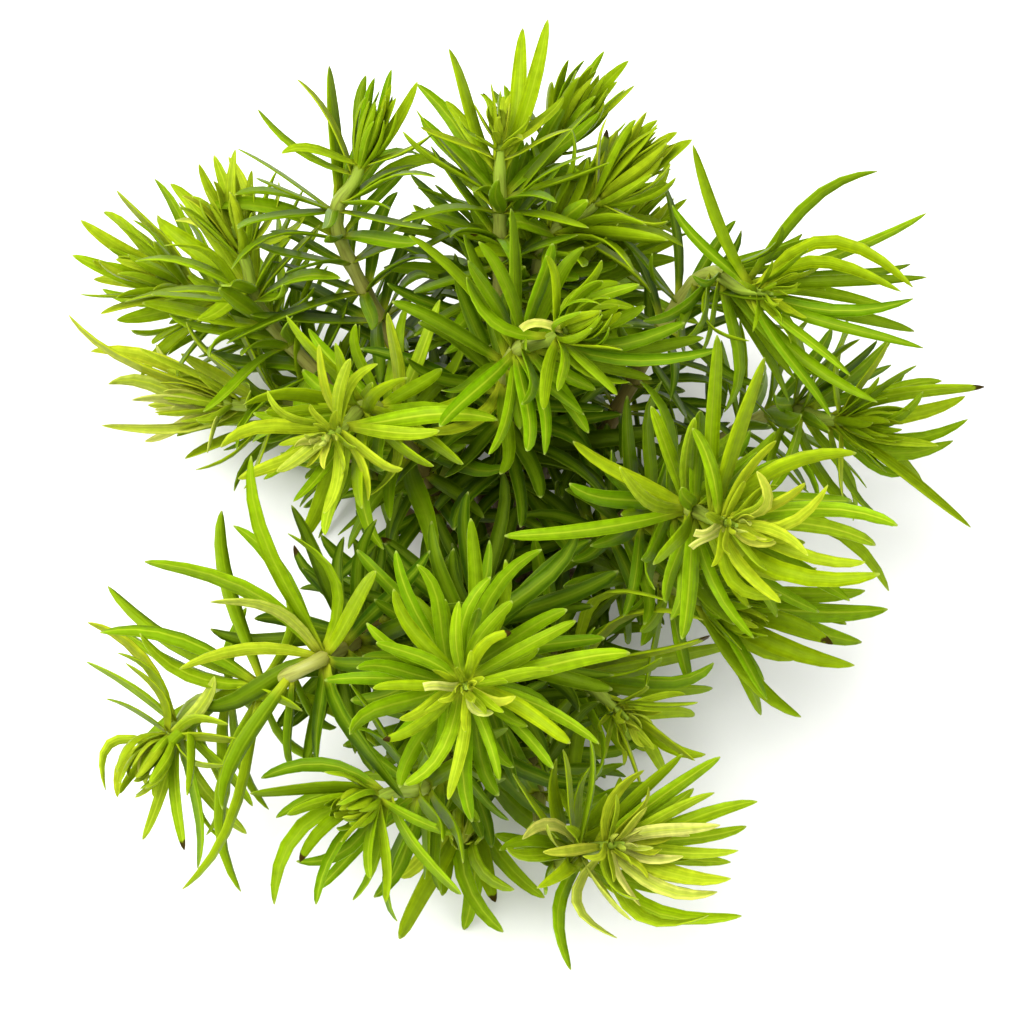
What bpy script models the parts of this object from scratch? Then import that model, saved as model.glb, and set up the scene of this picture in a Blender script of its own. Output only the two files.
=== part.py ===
"""A clump of pogostemon, a water plant, as it grows above water: twenty leafy shoots that lean out from
one stem base, cut off flat where it left the ground. Metres, +Z up, origin at the middle of the cut.

Each shoot is a stem with its lower whorls of leaves, and the rosette at its tip. A leaf is drawn out of
the side of its stem, face by face, so stem and leaves are one body."""

import math
import random
from typing import NamedTuple

import bmesh
import bpy
import numpy as np
from mathutils import Matrix, Vector

MM = 0.001

# The plant is laid out as it is seen from in front and above, from this angle and distance
VIEW_ELEVATION = math.radians(60)
VIEW_DISTANCE = 800 * MM
AIM_RIGHT, AIM_UP = 1.1 * MM, 7.4 * MM
RIGHT = Vector((1, 0, 0))
UP = Vector((0, math.sin(VIEW_ELEVATION), math.cos(VIEW_ELEVATION)))
TOWARDS = Vector((0, -math.cos(VIEW_ELEVATION), math.sin(VIEW_ELEVATION)))
AIM = AIM_RIGHT * RIGHT + AIM_UP * UP

# Stem base
BASE_RADIUS = 8.5 * MM
BASE_HEIGHT = 10 * MM
BASE_LUMP = 0.5 * MM
START_SPACING = math.radians(21)
START_STEPS = 200

# Stems
SIDES = 7
STEM_RADIUS = 1.3 * MM
STEM_TOP_RADIUS = 1.0 * MM
STEM_STRAIGHT_START = 9 * MM
STEM_STRAIGHT_END = 13 * MM
BARE_STEP = 18 * MM
BAND = 1.1 * MM
GAP = 0.3 * MM

# Rosettes
ROSETTE_BANDS = (0, 2.5 * MM)
BUD_MIDDLE = 7 * MM
BUD_LENGTH = 10 * MM
BUD_RADIUS = 0.95 * MM

# Leaves
LEAF_WIDTH = 2.0 * MM
LEAF_THICKNESS = 0.5 * MM
LEAF_LENGTH = 20 * MM
YOUNG_LENGTH = 13 * MM
LONG_LEAF = 20 * MM
GROWN_FILLER = 17 * MM
GROUND_FILLER = 21 * MM
FILLER_SPREADS = (80, 62)
TIP_WIDTH = 0.7 * MM
LOWEST_TIP = 0
NEAR_GROUND = 6 * MM
LOW_SHOOT = 36 * MM
LEAF_REACH = 0.96 * MM
NEAR_BASE = 0.35
NEAR_EASE = 0.8 * MM
LEAST_OUTWARD = 0.1
LEAST_FORWARD = -0.35
LIFT, SPRING = 0.35, 0.3

GREEN_YOUNG = (0.36, 0.55, 0.02, 1)
GREEN_GROWN = (0.17, 0.33, 0.01, 1)
TAN = (0.30, 0.22, 0.05, 1)


class Shoot(NamedTuple):
    """One shoot. tip is where it shows, in mm right of and above the cut, and its height in mm. lean is the
    share of its tip's direction that points right and up in the view. Leaves are (angle, length) or
    (angle, length, bow) as they show: degrees turning left from the right hand, and mm. They stand in the
    rosette, in the whorl under it and in the next whorl down, and below gives how far in mm those two
    whorls are from the tip. via is a place that the stem passes through, given as tip is."""

    tip: tuple
    lean: tuple
    rosette: tuple
    whorl: tuple = ()
    lower: tuple = ()
    below: tuple = (7.5, 17)
    via: tuple = ()


SHOOTS = {
    "front_centre": Shoot(
        tip=(-6.5, -19.1, 65),
        lean=(0.05, -0.1),
        rosette=(
            (126, 18), (154, 15), (182, 14), (207, 11), (214, 15), (240, 18), (262, 18), (293, 18),
            (332, 20), (9, 14), (29, 19), (86, 12, 3), (352, 10), (60, 9),
        ),
        whorl=((115, 22), (85, 25), (57, 24), (68, 20), (338, 26), (9, 27)),
    ),
    "front_right": Shoot(
        tip=(14.3, -44.6, 32),
        lean=(0.55, 0.05),
        rosette=(
            (46, 21), (35, 24), (25, 19), (12, 19), (4, 17), (359, 22), (353, 21), (339, 19),
            (336, 25), (329, 19, 3), (307, 10), (280, 14, -4), (186, 10), (61, 14, 3), (86, 16), (7, 24),
        ),
        whorl=((16, 26), (108, 16), (125, 14), (170, 11), (256, 19)),
    ),
    "front_left": Shoot(
        tip=(-18.6, -36.4, 42),
        lean=(-0.6, -0.25),
        rosette=(
            (180, 21), (174, 20), (195, 18), (216, 18), (219, 15), (236, 20), (252, 17), (265, 12),
            (275, 16), (60, 8), (150, 9), (230, 8),
        ),
        whorl=((224, 24), (300, 12), (110, 15), (140, 15)),
    ),
    "left_front": Shoot(
        tip=(-53, -27.1, 34),
        lean=(-0.8, -0.4),
        rosette=(
            (126, 20), (112, 24), (139, 16), (115, 15), (357, 15), (343, 11), (318, 18), (306, 20),
            (256, 18), (278, 19), (283, 22), (231, 11), (245, 9), (262, 9),
        ),
        whorl=((94, 20, 3), (162, 27), (329, 18), (351, 24), (318, 8), (235, 12)),
        lower=((153, 27), (127, 28), (111, 30), (79, 29), (55, 28), (37, 22), (184, 24)),
        below=(17, 27),
        via=((-27.1, -14.7, 47),),
    ),
    "left_inner": Shoot(
        tip=(-25.3, 20.5, 62),
        lean=(-0.4, -0.2),
        rosette=(
            (212, 15), (213, 11), (106, 13), (78, 11), (57, 15), (190, 19), (208, 22), (2, 16),
            (261, 17), (262, 13), (295, 12), (150, 12), (330, 12),
        ),
        whorl=((56, 24), (359, 25), (130, 18), (180, 18), (235, 18)),
    ),
    "centre_back": Shoot(
        tip=(7.4, 34.4, 72),
        lean=(0.5, 0.3),
        rosette=(
            (35, 16), (30, 15), (19, 13), (15, 10), (258, 12), (256, 18), (330, 15), (312, 13),
            (180, 7), (144, 16, 3), (60, 13), (100, 12), (220, 14),
        ),
        whorl=((241, 21), (265, 18), (145, 27), (0, 18), (200, 18)),
    ),
    "right_inner": Shoot(
        tip=(32.6, 6.2, 58),
        lean=(0.45, -0.1),
        rosette=(
            (338, 14), (326, 14), (335, 18), (6, 12), (38, 19), (26, 14), (17, 17), (151, 17),
            (201, 25), (104, 16), (56, 14), (5, 23), (351, 26), (344, 23), (311, 15), (52, 9, 3),
        ),
        whorl=((151, 25), (185, 30), (120, 21), (89, 28), (74, 25), (26, 24), (358, 28), (338, 30)),
    ),
    "right_back": Shoot(
        tip=(37.2, 41.9, 60),
        lean=(0.6, -0.05),
        rosette=(
            (113, 24), (135, 18), (117, 19), (142, 17), (42, 27, -4), (22, 29), (0, 25), (359, 21),
            (355, 23), (347, 28), (342, 28), (4, 28), (9, 27), (35, 10), (268, 8), (320, 14),
        ),
        whorl=((319, 20), (320, 27), (301, 23), (240, 14), (180, 15)),
    ),
    "right_low": Shoot(
        tip=(55.8, 27.9, 28),
        lean=(0.8, -0.1),
        rosette=(
            (357, 19), (3, 15), (7, 12), (20, 10), (352, 9), (340, 17), (332, 18), (90, 12), (270, 12),
        ),
        whorl=((307, 27), (250, 18), (60, 14), (120, 14)),
    ),
    "back_left": Shoot(
        tip=(-23.7, 60.1, 62),
        lean=(0.1, 0.8),
        rosette=((87, 14), (79, 15), (72, 16), (122, 17), (147, 18), (56, 18), (20, 12), (175, 12)),
        whorl=((150, 15), (35, 16), (195, 15), (345, 15)),
    ),
    "back_centre": Shoot(
        tip=(-0.8, 60.8, 68),
        lean=(0, 0.8),
        rosette=((113, 20), (97, 11), (127, 14), (82, 23), (73, 24), (45, 14), (160, 13), (20, 12)),
        whorl=((140, 18), (30, 15), (190, 15), (345, 14)),
    ),
    "back_tall": Shoot(
        tip=(6.5, 62, 54),
        lean=(0.45, 0.75),
        rosette=((77, 16), (63, 18), (50, 20), (40, 18), (90, 10), (20, 12), (120, 12)),
        whorl=((100, 15), (10, 15), (60, 15), (330, 14)),
    ),
    "back_right": Shoot(
        tip=(17.5, 55.8, 60),
        lean=(0.6, 0.6),
        rosette=((59, 17), (50, 16), (40, 14), (70, 13), (25, 12), (85, 12), (340, 11)),
        whorl=((80, 15), (0, 14), (330, 14), (270, 14)),
    ),
    "back_right_low": Shoot(
        tip=(21, 49, 34),
        lean=(0.6, 0.6),
        rosette=((54, 19), (45, 16), (62, 15), (35, 14), (20, 12), (75, 12), (330, 11)),
        whorl=((90, 14), (0, 14), (320, 14), (60, 16)),
    ),
    "left_far": Shoot(
        tip=(-48.8, 41.9, 26),
        lean=(-0.8, 0.35),
        rosette=((164, 19), (148, 20), (139, 19), (127, 19), (175, 14), (110, 12), (200, 13)),
        whorl=((90, 15), (200, 15), (160, 19), (240, 14)),
    ),
    "left_back": Shoot(
        tip=(-40.3, 46.5, 46),
        lean=(-0.3, 0.75),
        rosette=((106, 17), (100, 17), (94, 17), (137, 12), (129, 13), (155, 12), (60, 12), (30, 12)),
        whorl=((150, 15), (45, 15), (180, 15), (10, 14)),
    ),
    "left_low": Shoot(
        tip=(-45, 25.6, 23),
        lean=(-0.9, 0.15),
        rosette=((175, 17), (195, 18), (152, 25), (162, 22), (215, 14), (135, 14), (184, 12)),
        whorl=((170, 20), (220, 16), (120, 16), (250, 14)),
    ),
    "right_front_low": Shoot(
        tip=(36.4, -9.3, 26),
        lean=(0.65, -0.4),
        rosette=((3, 23), (18, 22), (355, 16), (347, 13), (340, 17), (301, 17), (281, 13), (320, 18)),
        whorl=((30, 20), (260, 16), (310, 20), (350, 20)),
    ),
    "front_right_low": Shoot(
        tip=(15.5, -21.5, 16),
        lean=(0.5, -0.45),
        rosette=((347, 15), (327, 15), (308, 16), (3, 13), (331, 18), (290, 13)),
        whorl=((10, 18), (280, 15), (315, 18)),
    ),
    "front_low": Shoot(
        tip=(-5.4, -37.2, 15),
        lean=(-0.1, -0.6),
        rosette=((243, 24), (284, 21), (307, 19), (286, 15), (267, 21), (225, 15)),
        whorl=((210, 18), (325, 18), (255, 20)),
    ),
}


class Leaf(NamedTuple):
    """A leaf to be grown: the band and side of the tube it leaves, and the three points of its curve."""

    band: int
    side: int
    points: tuple
    axis: Vector


class Tube:
    """A stem or the axis of a rosette: stations (centre, direction, radius) and which of its stretches
    between stations are bands that leaves grow from."""

    def __init__(self, name, stations, bands, sideways, young):
        self.name = name
        self.stations = stations
        self.bands = bands
        self.sideways = sideways
        self.young = young
        self.free = {(band, side) for band in bands for side in range(SIDES)}
        self.leaves = []

    def outward(self, band, side):
        """The direction that one side of a band faces."""
        direction = self.stations[band][1]
        first = across(self.sideways, direction)
        angle = 2 * math.pi * (side + 0.5) / SIDES
        return (math.cos(angle) * first + math.sin(angle) * direction.cross(first)).normalized()

    def middle(self, band):
        """The point on the axis in the middle of a band."""
        return (self.stations[band][0] + self.stations[band + 1][0]) / 2


def across(vector, direction):
    """The part of a vector that is square to a direction, at length 1."""
    return (vector - vector.dot(direction) * direction).normalized()


def placed(right, up, height):
    """The point at this height that shows at this place in the view."""
    beyond = up - AIM_UP
    share = TOWARDS.z - beyond * UP.z / VIEW_DISTANCE
    nearer = (height - AIM.z - beyond * UP.z) / share
    shrink = 1 - nearer / VIEW_DISTANCE
    return AIM + ((right - AIM_RIGHT) * RIGHT + beyond * UP) * shrink + nearer * TOWARDS


def shrink_at(point):
    """How much smaller a length is at this point than it shows in the view."""
    return 1 - (point - AIM).dot(TOWARDS) / VIEW_DISTANCE


def lean_of(shoot):
    """The direction in which a shoot's tip points."""
    right, up = shoot.lean
    return right * RIGHT + up * UP + math.sqrt(1 - right * right - up * up) * TOWARDS


def spread_starts(tips):
    """Directions from the middle of the base, one towards each tip, pushed apart until the stems that
    start there have room."""
    starts = [(tip - Vector((0, 0, BASE_HEIGHT / 3))).normalized() for tip in tips]
    least = 2 * math.sin(START_SPACING / 2)
    for _ in range(START_STEPS):
        for i, first in enumerate(starts):
            for j, second in enumerate(starts[:i]):
                apart = first - second
                if apart.length < least:
                    push = apart.normalized() * (least - apart.length) / 2
                    starts[i] = (starts[i] + push).normalized()
                    starts[j] = (starts[j] - push).normalized()
        starts = [Vector((s.x, s.y, max(s.z, 0.2))).normalized() for s in starts]
    return starts


def on_base(direction):
    """The point of the base's smooth outline in this direction from its middle."""
    flat = math.hypot(direction.x, direction.y) / BASE_RADIUS
    return direction / math.hypot(flat, direction.z / BASE_HEIGHT)


def smooth_path(points, steps=12):
    """Points along a smooth curve through the points given, Catmull and Rom's."""
    ends = [2 * points[0] - points[1], *points, 2 * points[-1] - points[-2]]
    path = []
    for a, b, c, d in zip(ends, ends[1:], ends[2:], ends[3:]):
        for step in range(steps):
            t = step / steps
            path.append(
                0.5 * (2 * b + (c - a) * t + (2 * a - 5 * b + 4 * c - d) * t * t
                       + (3 * b - a - 3 * c + d) * t ** 3)
            )
    return [*path, points[-1]]


class Path:
    """A smooth curve that is read by the distance along it."""

    def __init__(self, points):
        self.points = smooth_path(points)
        self.marks = [0.0]
        for a, b in zip(self.points, self.points[1:]):
            self.marks.append(self.marks[-1] + (b - a).length)
        self.length = self.marks[-1]

    def at(self, distance):
        """The point and the direction at this distance from the start."""
        i = max(1, next((i for i, m in enumerate(self.marks) if m >= distance), len(self.marks) - 1))
        a, b = self.points[i - 1], self.points[i]
        share = (distance - self.marks[i - 1]) / (self.marks[i] - self.marks[i - 1])
        return a.lerp(b, share), (b - a).normalized()


def stem_path(shoot, start_direction):
    """The line of a stem from the base to its tip."""
    tip, lean = placed(*(MM * Vector(shoot.tip))), lean_of(shoot)
    start = on_base(start_direction) + GAP * start_direction
    along = [placed(*(MM * Vector(point))) for point in shoot.via]
    return Path([
        start,
        start + STEM_STRAIGHT_START * start_direction,
        *along,
        tip - STEM_STRAIGHT_END * lean,
        tip,
    ])


def stem_tube(name, path, shoot):
    """The stem's tube. Bare stretches and whorl bands take turns, and the bands come last."""
    bands = [path.length - GAP - below * MM for below in shoot.below[::-1]]
    stretches = max(2, round(bands[0] / BARE_STEP)) + 2 * len(shoot.via)
    marks = [bands[0] * i / stretches for i in range(stretches)]
    whorls = []
    for mark in bands:
        whorls.append(len(marks))
        marks += [mark, mark + BAND]
    marks.append(path.length - GAP)
    stations = []
    for mark in marks:
        point, direction = path.at(mark)
        radius = STEM_RADIUS + (STEM_TOP_RADIUS - STEM_RADIUS) * mark / path.length
        stations.append((point, direction, radius))
    flat = stations[-1][0] - stations[0][0]
    sideways = Vector((-flat.y, flat.x, 0)).normalized()
    return Tube(f"stem_{name}", stations, whorls, sideways, False)


def rosette_tube(name, path, lean, sideways):
    """The short axis of the rosette at the stem's tip, which ends in its bud."""
    tip = path.points[-1]
    marks, bands = [], []
    for start in ROSETTE_BANDS:
        bands.append(len(marks))
        marks += [(start, STEM_TOP_RADIUS), (start + BAND, STEM_TOP_RADIUS)]
    marks += [(BUD_MIDDLE, BUD_RADIUS), (BUD_LENGTH, BUD_RADIUS / 4)]
    stations = [(tip + mark * lean, lean, radius) for mark, radius in marks]
    return Tube(f"rosette_{name}", stations, bands, sideways, True)


class Crowd:
    """What has been placed so far, as straight segments with a radius, to keep new leaves clear of it."""

    def __init__(self):
        self.starts, self.ends, self.radii = [], [], []
        self.owners, self.stems = [], []

    def add(self, points, radius, owner, is_stem):
        """Takes in a line of points."""
        for a, b in zip(points, points[1:]):
            self.starts.append(a[:])
            self.ends.append(b[:])
            self.radii.append(radius)
            self.owners.append(owner)
            self.stems.append(is_stem)

    def room(self, points, owner, kin):
        """The least room between a leaf's points and all else. Beside the leaf's own tube and its kin, the
        stretch near the leaf's base needs less, since it grows from there and is slimmer."""
        starts, ends = np.array(self.starts), np.array(self.ends)
        lines = ends - starts
        places = np.array([p[:] for p in points])
        offsets = places[:, None, :] - starts[None]
        share = np.clip((offsets * lines).sum(-1) / (lines * lines).sum(-1), 0, 1)
        gaps = np.linalg.norm(offsets - share[..., None] * lines, axis=-1) - np.array(self.radii)
        related = np.array([o == owner or o == kin for o in self.owners])
        near = np.arange(len(points)) < NEAR_BASE * len(points)
        gaps[np.ix_(near, related)] += NEAR_EASE
        gaps[np.ix_(near, related & np.array(self.stems))] = 1
        return gaps.min() - LEAF_REACH - GAP / 2


def leaf_curve(points, share):
    """A point of a leaf's curve, which is a quadratic one."""
    a, b, c = points
    return a.lerp(b, share).lerp(b.lerp(c, share), share)


def across_leaf(lean, root, tip):
    """The direction across a leaf's blade, square to its stem."""
    return lean.cross(tip - root).normalized()


def leaf_points(root, outward, lean, tip, bow):
    """The three points of a leaf's curve. It leaves its stem outwards and a little upwards, and bends over
    to its tip. bow pushes its middle to the left in the view, seen from its root."""
    reach = tip - root
    start = (reach.normalized() + LIFT * lean + SPRING * outward).normalized()
    middle = root + 0.5 * reach.length * start
    left = TOWARDS.cross(reach).normalized()
    middle += 2 * bow * left
    middle.z = max(middle.z, 2 * LEAF_THICKNESS)
    return root, middle, tip


def lay_leaf(tube, band_choice, tip, bow, crowd, kin, least):
    """The leaf from the best free side of a tube's bands to a tip, or None where it would have less than
    the least room. Returns it with its room."""
    free = [slot for slot in tube.free if slot[0] in band_choice]
    if not free:
        return None
    lean = tube.stations[band_choice[0]][1]
    aim = across(tip - tube.middle(band_choice[0]), lean)
    band, side = max(sorted(free), key=lambda slot: tube.outward(*slot).dot(aim))
    outward = tube.outward(band, side)
    root = tube.middle(band) + outward * tube.stations[band][2] * math.cos(math.pi / SIDES)
    if tip.z == LOWEST_TIP:
        tip = tip + Vector((0, 0, abs(across_leaf(lean, root, tip).z) * TIP_WIDTH / 2))
    if outward.dot((tip - root).normalized()) < LEAST_OUTWARD:
        return None
    points = leaf_points(root, outward, lean, tip, bow)
    samples = [leaf_curve(points, (i + 1) / 10) for i in range(10)]
    room = crowd.room(samples, tube.name, kin)
    if room < least:
        return None
    return Leaf(band, side, points, lean), room


def settle(tube, tries, crowd, kin):
    """Lays the first leaf of those to be tried that has room, and grows nothing where none has."""
    for band_choice, tip, bow in tries:
        found = lay_leaf(tube, band_choice, tip, bow, crowd, kin, 0)
        if found:
            leaf = found[0]
            tube.free.discard((leaf.band, leaf.side))
            tube.leaves.append(leaf)
            line = [leaf_curve(leaf.points, i / 4) for i in range(5)]
            crowd.add(line, LEAF_REACH, tube.name, False)
            return True
    return False


def seen_tries(tube, band_choice, angle, length, bow, grown):
    """The tips to try for a leaf that the view shows at this angle and length, the likeliest first. Only
    its depth changes at first, which the view doesn't show, then its angle and its length."""
    middle = tube.middle(band_choice[0])
    lean = tube.stations[band_choice[0]][1]
    shown = shrink_at(middle)
    upright = lean.dot(TOWARDS)
    for shorter in (1, 0.85, 0.7):
        for turn in (0, 5, -5, 10, -10):
            heading = math.radians(angle + turn)
            flat = (math.cos(heading) * RIGHT + math.sin(heading) * UP) * length * MM * shorter * shown
            whole = max(grown, 1.04 * flat.length)
            for longer in (1, 1.08, 0.94, 1.16, 0.88):
                depth = math.sqrt(max((whole * longer) ** 2 - flat.length_squared, 0))
                for sign in (1, -1) if upright > -0.1 else (-1, 1):
                    tip = middle + flat + sign * depth * TOWARDS
                    if (tip - middle).normalized().dot(lean) < LEAST_FORWARD:
                        continue
                    yield band_choice, on_floor(tip), bow * MM


def on_floor(tip):
    """The tip itself or, where it is low, the point in line with it in the view that touches the ground."""
    if tip.z > NEAR_GROUND:
        return tip
    found = tip + TOWARDS * (LOWEST_TIP - tip.z) / TOWARDS.z
    return Vector((found.x, found.y, LOWEST_TIP))


def filler_tries(tube, band, side, length, spread, chance):
    """The tips to try for a leaf that fills a free side of a band at about this spread from the stem."""
    lean = tube.stations[band][1]
    for change in (0, 9, -9, 18, -18, 27):
        for shorter in (1, 0.8):
            angle = math.radians(spread + change + chance.uniform(-6, 6))
            outward = tube.outward(band, side)
            turned = Matrix.Rotation(math.radians(chance.uniform(-10, 10)), 3, lean) @ outward
            heading = math.cos(angle) * lean + math.sin(angle) * turned
            tip = tube.middle(band) + heading * length * shorter
            if tip.z < NEAR_GROUND:
                tip.z = LOWEST_TIP
            yield [band], tip, 0


def new_object(name, bm, colour, collection):
    """An object from finished mesh data, with its own material."""
    mesh = bpy.data.meshes.new(name)
    bm.to_mesh(mesh)
    bm.free()
    for polygon in mesh.polygons:
        polygon.use_smooth = True
    mesh.set_sharp_from_angle(angle=math.radians(50))
    material = bpy.data.materials.new(name)
    material.use_nodes = True
    shader = material.node_tree.nodes["Principled BSDF"]
    shader.inputs["Base Color"].default_value = colour
    shader.inputs["Roughness"].default_value = 0.4
    shader.inputs["Metallic"].default_value = 0
    mesh.materials.append(material)
    made = bpy.data.objects.new(name, mesh)
    collection.objects.link(made)
    return made


def ring(tube, station):
    """The corners of a tube at one station."""
    centre, direction, radius = station
    first = across(tube.sideways, direction)
    second = direction.cross(first)
    corners = []
    for i in range(SIDES):
        angle = 2 * math.pi * i / SIDES
        corners.append(centre + radius * (math.cos(angle) * first + math.sin(angle) * second))
    return corners


def draw_out(bm, face, corners):
    """Extrudes a face and puts the new one's corners in these places. Returns the new face."""
    new = bmesh.ops.extrude_discrete_faces(bm, faces=[face])["faces"][0]
    for vertex, place in zip(new.verts, corners):
        vertex.co = place
    return new


def grow_tube(tube):
    """The tube's mesh and the faces of its bands, by band and side."""
    bm = bmesh.new()
    bmesh.ops.create_cone(bm, cap_ends=True, segments=SIDES, radius1=1, radius2=1, depth=1)
    caps = sorted((f for f in bm.faces if len(f.verts) == SIDES), key=lambda f: f.normal.z)
    turned = {}
    for cap, station in zip(caps, tube.stations):
        places = ring(tube, station)
        for vertex in cap.verts:
            angle = math.atan2(vertex.co.y, vertex.co.x) % (2 * math.pi)
            turned[vertex] = round(angle / (2 * math.pi) * SIDES) % SIDES
        for vertex in cap.verts:
            vertex.co = places[turned[vertex]]
    order = [turned[vertex] for vertex in caps[1].verts]
    end, faces = caps[1], {}
    for i, station in enumerate(tube.stations[1:]):
        if i > 0:
            places = ring(tube, station)
            end = draw_out(bm, end, [places[k] for k in order])
        if i not in tube.bands:
            continue
        for edge in end.edges:
            wall = next(face for face in edge.link_faces if face is not end)
            outward = across(wall.calc_center_median() - tube.middle(i), station[1])
            side = max(range(SIDES), key=lambda s: tube.outward(i, s).dot(outward))
            faces[i, side] = wall
    return bm, faces


def grow_leaf(bm, face, leaf, width):
    """Draws a leaf out of a face of its stem, in two or three steps, and closes it in a blunt tip."""
    root, _, tip = leaf.points
    wide = across_leaf(leaf.axis, root, tip)
    centre = face.calc_center_median()
    signs = []
    for vertex in face.verts:
        offset = vertex.co - centre
        signs.append((1 if offset.dot(wide) > 0 else -1, 1 if offset.dot(leaf.axis) > 0 else -1))
    shares = (0.3, 0.68) if (tip - root).length > LONG_LEAF else (0.5,)
    for share in shares:
        place = leaf_curve(leaf.points, share)
        ahead = (leaf_curve(leaf.points, share + 0.1) - place).normalized()
        up = ahead.cross(wide)
        half_wide, half_thick = wide * width / 2, up * LEAF_THICKNESS / 2
        face = draw_out(bm, face, [place + s * half_wide + t * half_thick for s, t in signs])
    face = draw_out(bm, face, [tip + s * wide * TIP_WIDTH / 2 for s, _ in signs])
    for sign in (1, -1):
        pair = [v for v, (s, _) in zip(list(face.verts), signs) if s == sign]
        bmesh.ops.pointmerge(bm, verts=pair, merge_co=tip + sign * wide * TIP_WIDTH / 2)


def make_node(tube, collection):
    """The finished object of a tube with its leaves."""
    bm, faces = grow_tube(tube)
    for leaf in tube.leaves:
        length = (leaf.points[2] - leaf.points[0]).length
        width = LEAF_WIDTH * min(1, 0.6 + 0.4 * length / LONG_LEAF)
        grow_leaf(bm, faces[leaf.band, leaf.side], leaf, width)
    colour = GREEN_YOUNG if tube.young else GREEN_GROWN
    return new_object(tube.name, bm, colour, collection)


def make_base(collection):
    """The short lumpy stem base, cut off flat at the ground."""
    bm = bmesh.new()
    bmesh.ops.create_icosphere(bm, subdivisions=3, radius=1)
    chance = random.Random(4)
    for vertex in bm.verts:
        place = on_base(vertex.co.normalized())
        vertex.co = place - place.normalized() * BASE_LUMP * chance.random()
    whole = [*bm.verts, *bm.edges, *bm.faces]
    bmesh.ops.bisect_plane(bm, geom=whole, plane_co=(0, 0, 0), plane_no=(0, 0, -1), clear_outer=True)
    rim = [edge for edge in bm.edges if edge.is_boundary]
    bmesh.ops.contextual_create(bm, geom=rim)
    bmesh.ops.recalc_face_normals(bm, faces=bm.faces)
    return new_object("stem_base", bm, TAN, collection)


def plan_tubes():
    """The stems and rosettes of all shoots, still without leaves."""
    tips = [placed(*(MM * Vector(shoot.tip))) for shoot in SHOOTS.values()]
    pairs = {}
    for (name, shoot), start in zip(SHOOTS.items(), spread_starts(tips)):
        path = stem_path(shoot, start)
        stem = stem_tube(name, path, shoot)
        pairs[name] = stem, rosette_tube(name, path, lean_of(shoot), stem.sideways)
    return pairs


def lay_shown(tube, choice, shown, usual, crowd, kin):
    """Lays the leaves that the view shows in these bands of a tube, the longest ones first."""
    for angle, length, *bow in sorted(shown, key=lambda leaf: -leaf[1]):
        tries = seen_tries(tube, choice, angle, length, bow[0] if bow else 0, usual)
        settle(tube, tries, crowd, kin.name)


def plan_leaves(pairs):
    """Lays every leaf: first the ones that the view shows, then those that fill the whorls all round."""
    crowd = Crowd()
    for stem, rosette in pairs.values():
        for tube in (stem, rosette):
            crowd.add([station[0] for station in tube.stations], STEM_RADIUS, tube.name, True)
    for name, (stem, rosette) in pairs.items():
        shoot = SHOOTS[name]
        lay_shown(rosette, rosette.bands, shoot.rosette, YOUNG_LENGTH, crowd, stem)
        lay_shown(stem, stem.bands[1:], shoot.whorl, LEAF_LENGTH, crowd, rosette)
        lay_shown(stem, stem.bands[:1], shoot.lower, LEAF_LENGTH, crowd, rosette)
    chance = random.Random(7)
    for stem, rosette in pairs.values():
        low = stem.stations[-1][0].z < LOW_SHOOT
        length = GROUND_FILLER if low else GROWN_FILLER
        for band, spread in zip(stem.bands, FILLER_SPREADS):
            sides = [side for side in range(SIDES) if (band, side) in stem.free]
            if not low and band == stem.bands[0]:
                sides = sides[::2]
            for side in sides:
                tries = filler_tries(stem, band, side, length, spread, chance)
                settle(stem, tries, crowd, rosette.name)
    return pairs


def main():
    """Clears the scene and builds the clump."""
    for old in list(bpy.data.objects):
        bpy.data.objects.remove(old)
    collection = bpy.data.collections.new("pogostemon")
    bpy.context.scene.collection.children.link(collection)
    make_base(collection)
    for stem, rosette in plan_leaves(plan_tubes()).values():
        make_node(stem, collection)
        make_node(rosette, collection)


main()
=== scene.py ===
"""The looks of a pogostemon clump, a water plant grown above water: twenty leafy shoots that lean out from
one stem base. Each shoot gets its stem, its grown leaves, its rosette and its bud as pieces of their own."""

import logging
import math
import random
from collections.abc import Iterable, Iterator, Sequence
from dataclasses import dataclass, field
from enum import Enum

import bpy
import numpy as np
from mathutils import Matrix, Vector


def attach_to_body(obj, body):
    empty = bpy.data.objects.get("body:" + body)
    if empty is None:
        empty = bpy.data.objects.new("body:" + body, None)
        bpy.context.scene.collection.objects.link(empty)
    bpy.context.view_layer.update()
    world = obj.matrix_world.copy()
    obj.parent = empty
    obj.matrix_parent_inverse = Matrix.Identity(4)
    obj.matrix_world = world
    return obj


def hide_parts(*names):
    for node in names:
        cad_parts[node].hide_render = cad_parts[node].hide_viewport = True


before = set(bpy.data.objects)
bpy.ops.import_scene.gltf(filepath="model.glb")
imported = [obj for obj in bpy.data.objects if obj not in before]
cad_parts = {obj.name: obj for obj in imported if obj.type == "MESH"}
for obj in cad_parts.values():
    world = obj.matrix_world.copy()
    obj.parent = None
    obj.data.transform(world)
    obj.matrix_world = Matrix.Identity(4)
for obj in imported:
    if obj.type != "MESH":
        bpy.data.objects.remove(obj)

MM = 0.001
BODY = "root"
LOG = logging.getLogger("pogostemon")
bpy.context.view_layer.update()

BASE_RADIUS = 8.5 * MM
BASE_HEIGHT = 10 * MM
SMOOTH_BELOW = math.radians(50)
WHITE, BLACK = (1, 1, 1, 1), (0, 0, 0, 1)

Pair = tuple[float, float]
Place = tuple[float, float, float]
Colour = tuple[float, float, float, float]
Shown = tuple[tuple[float, ...], ...]
Feed = bpy.types.Node | bpy.types.NodeSocket


class Slot(Enum):
    """Names of the pieces' material slots, which attach is given but doesn't use."""

    YOUNG = "young_leaves"
    GROWN = "grown_leaves"
    BASE = "basal_stem"


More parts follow.
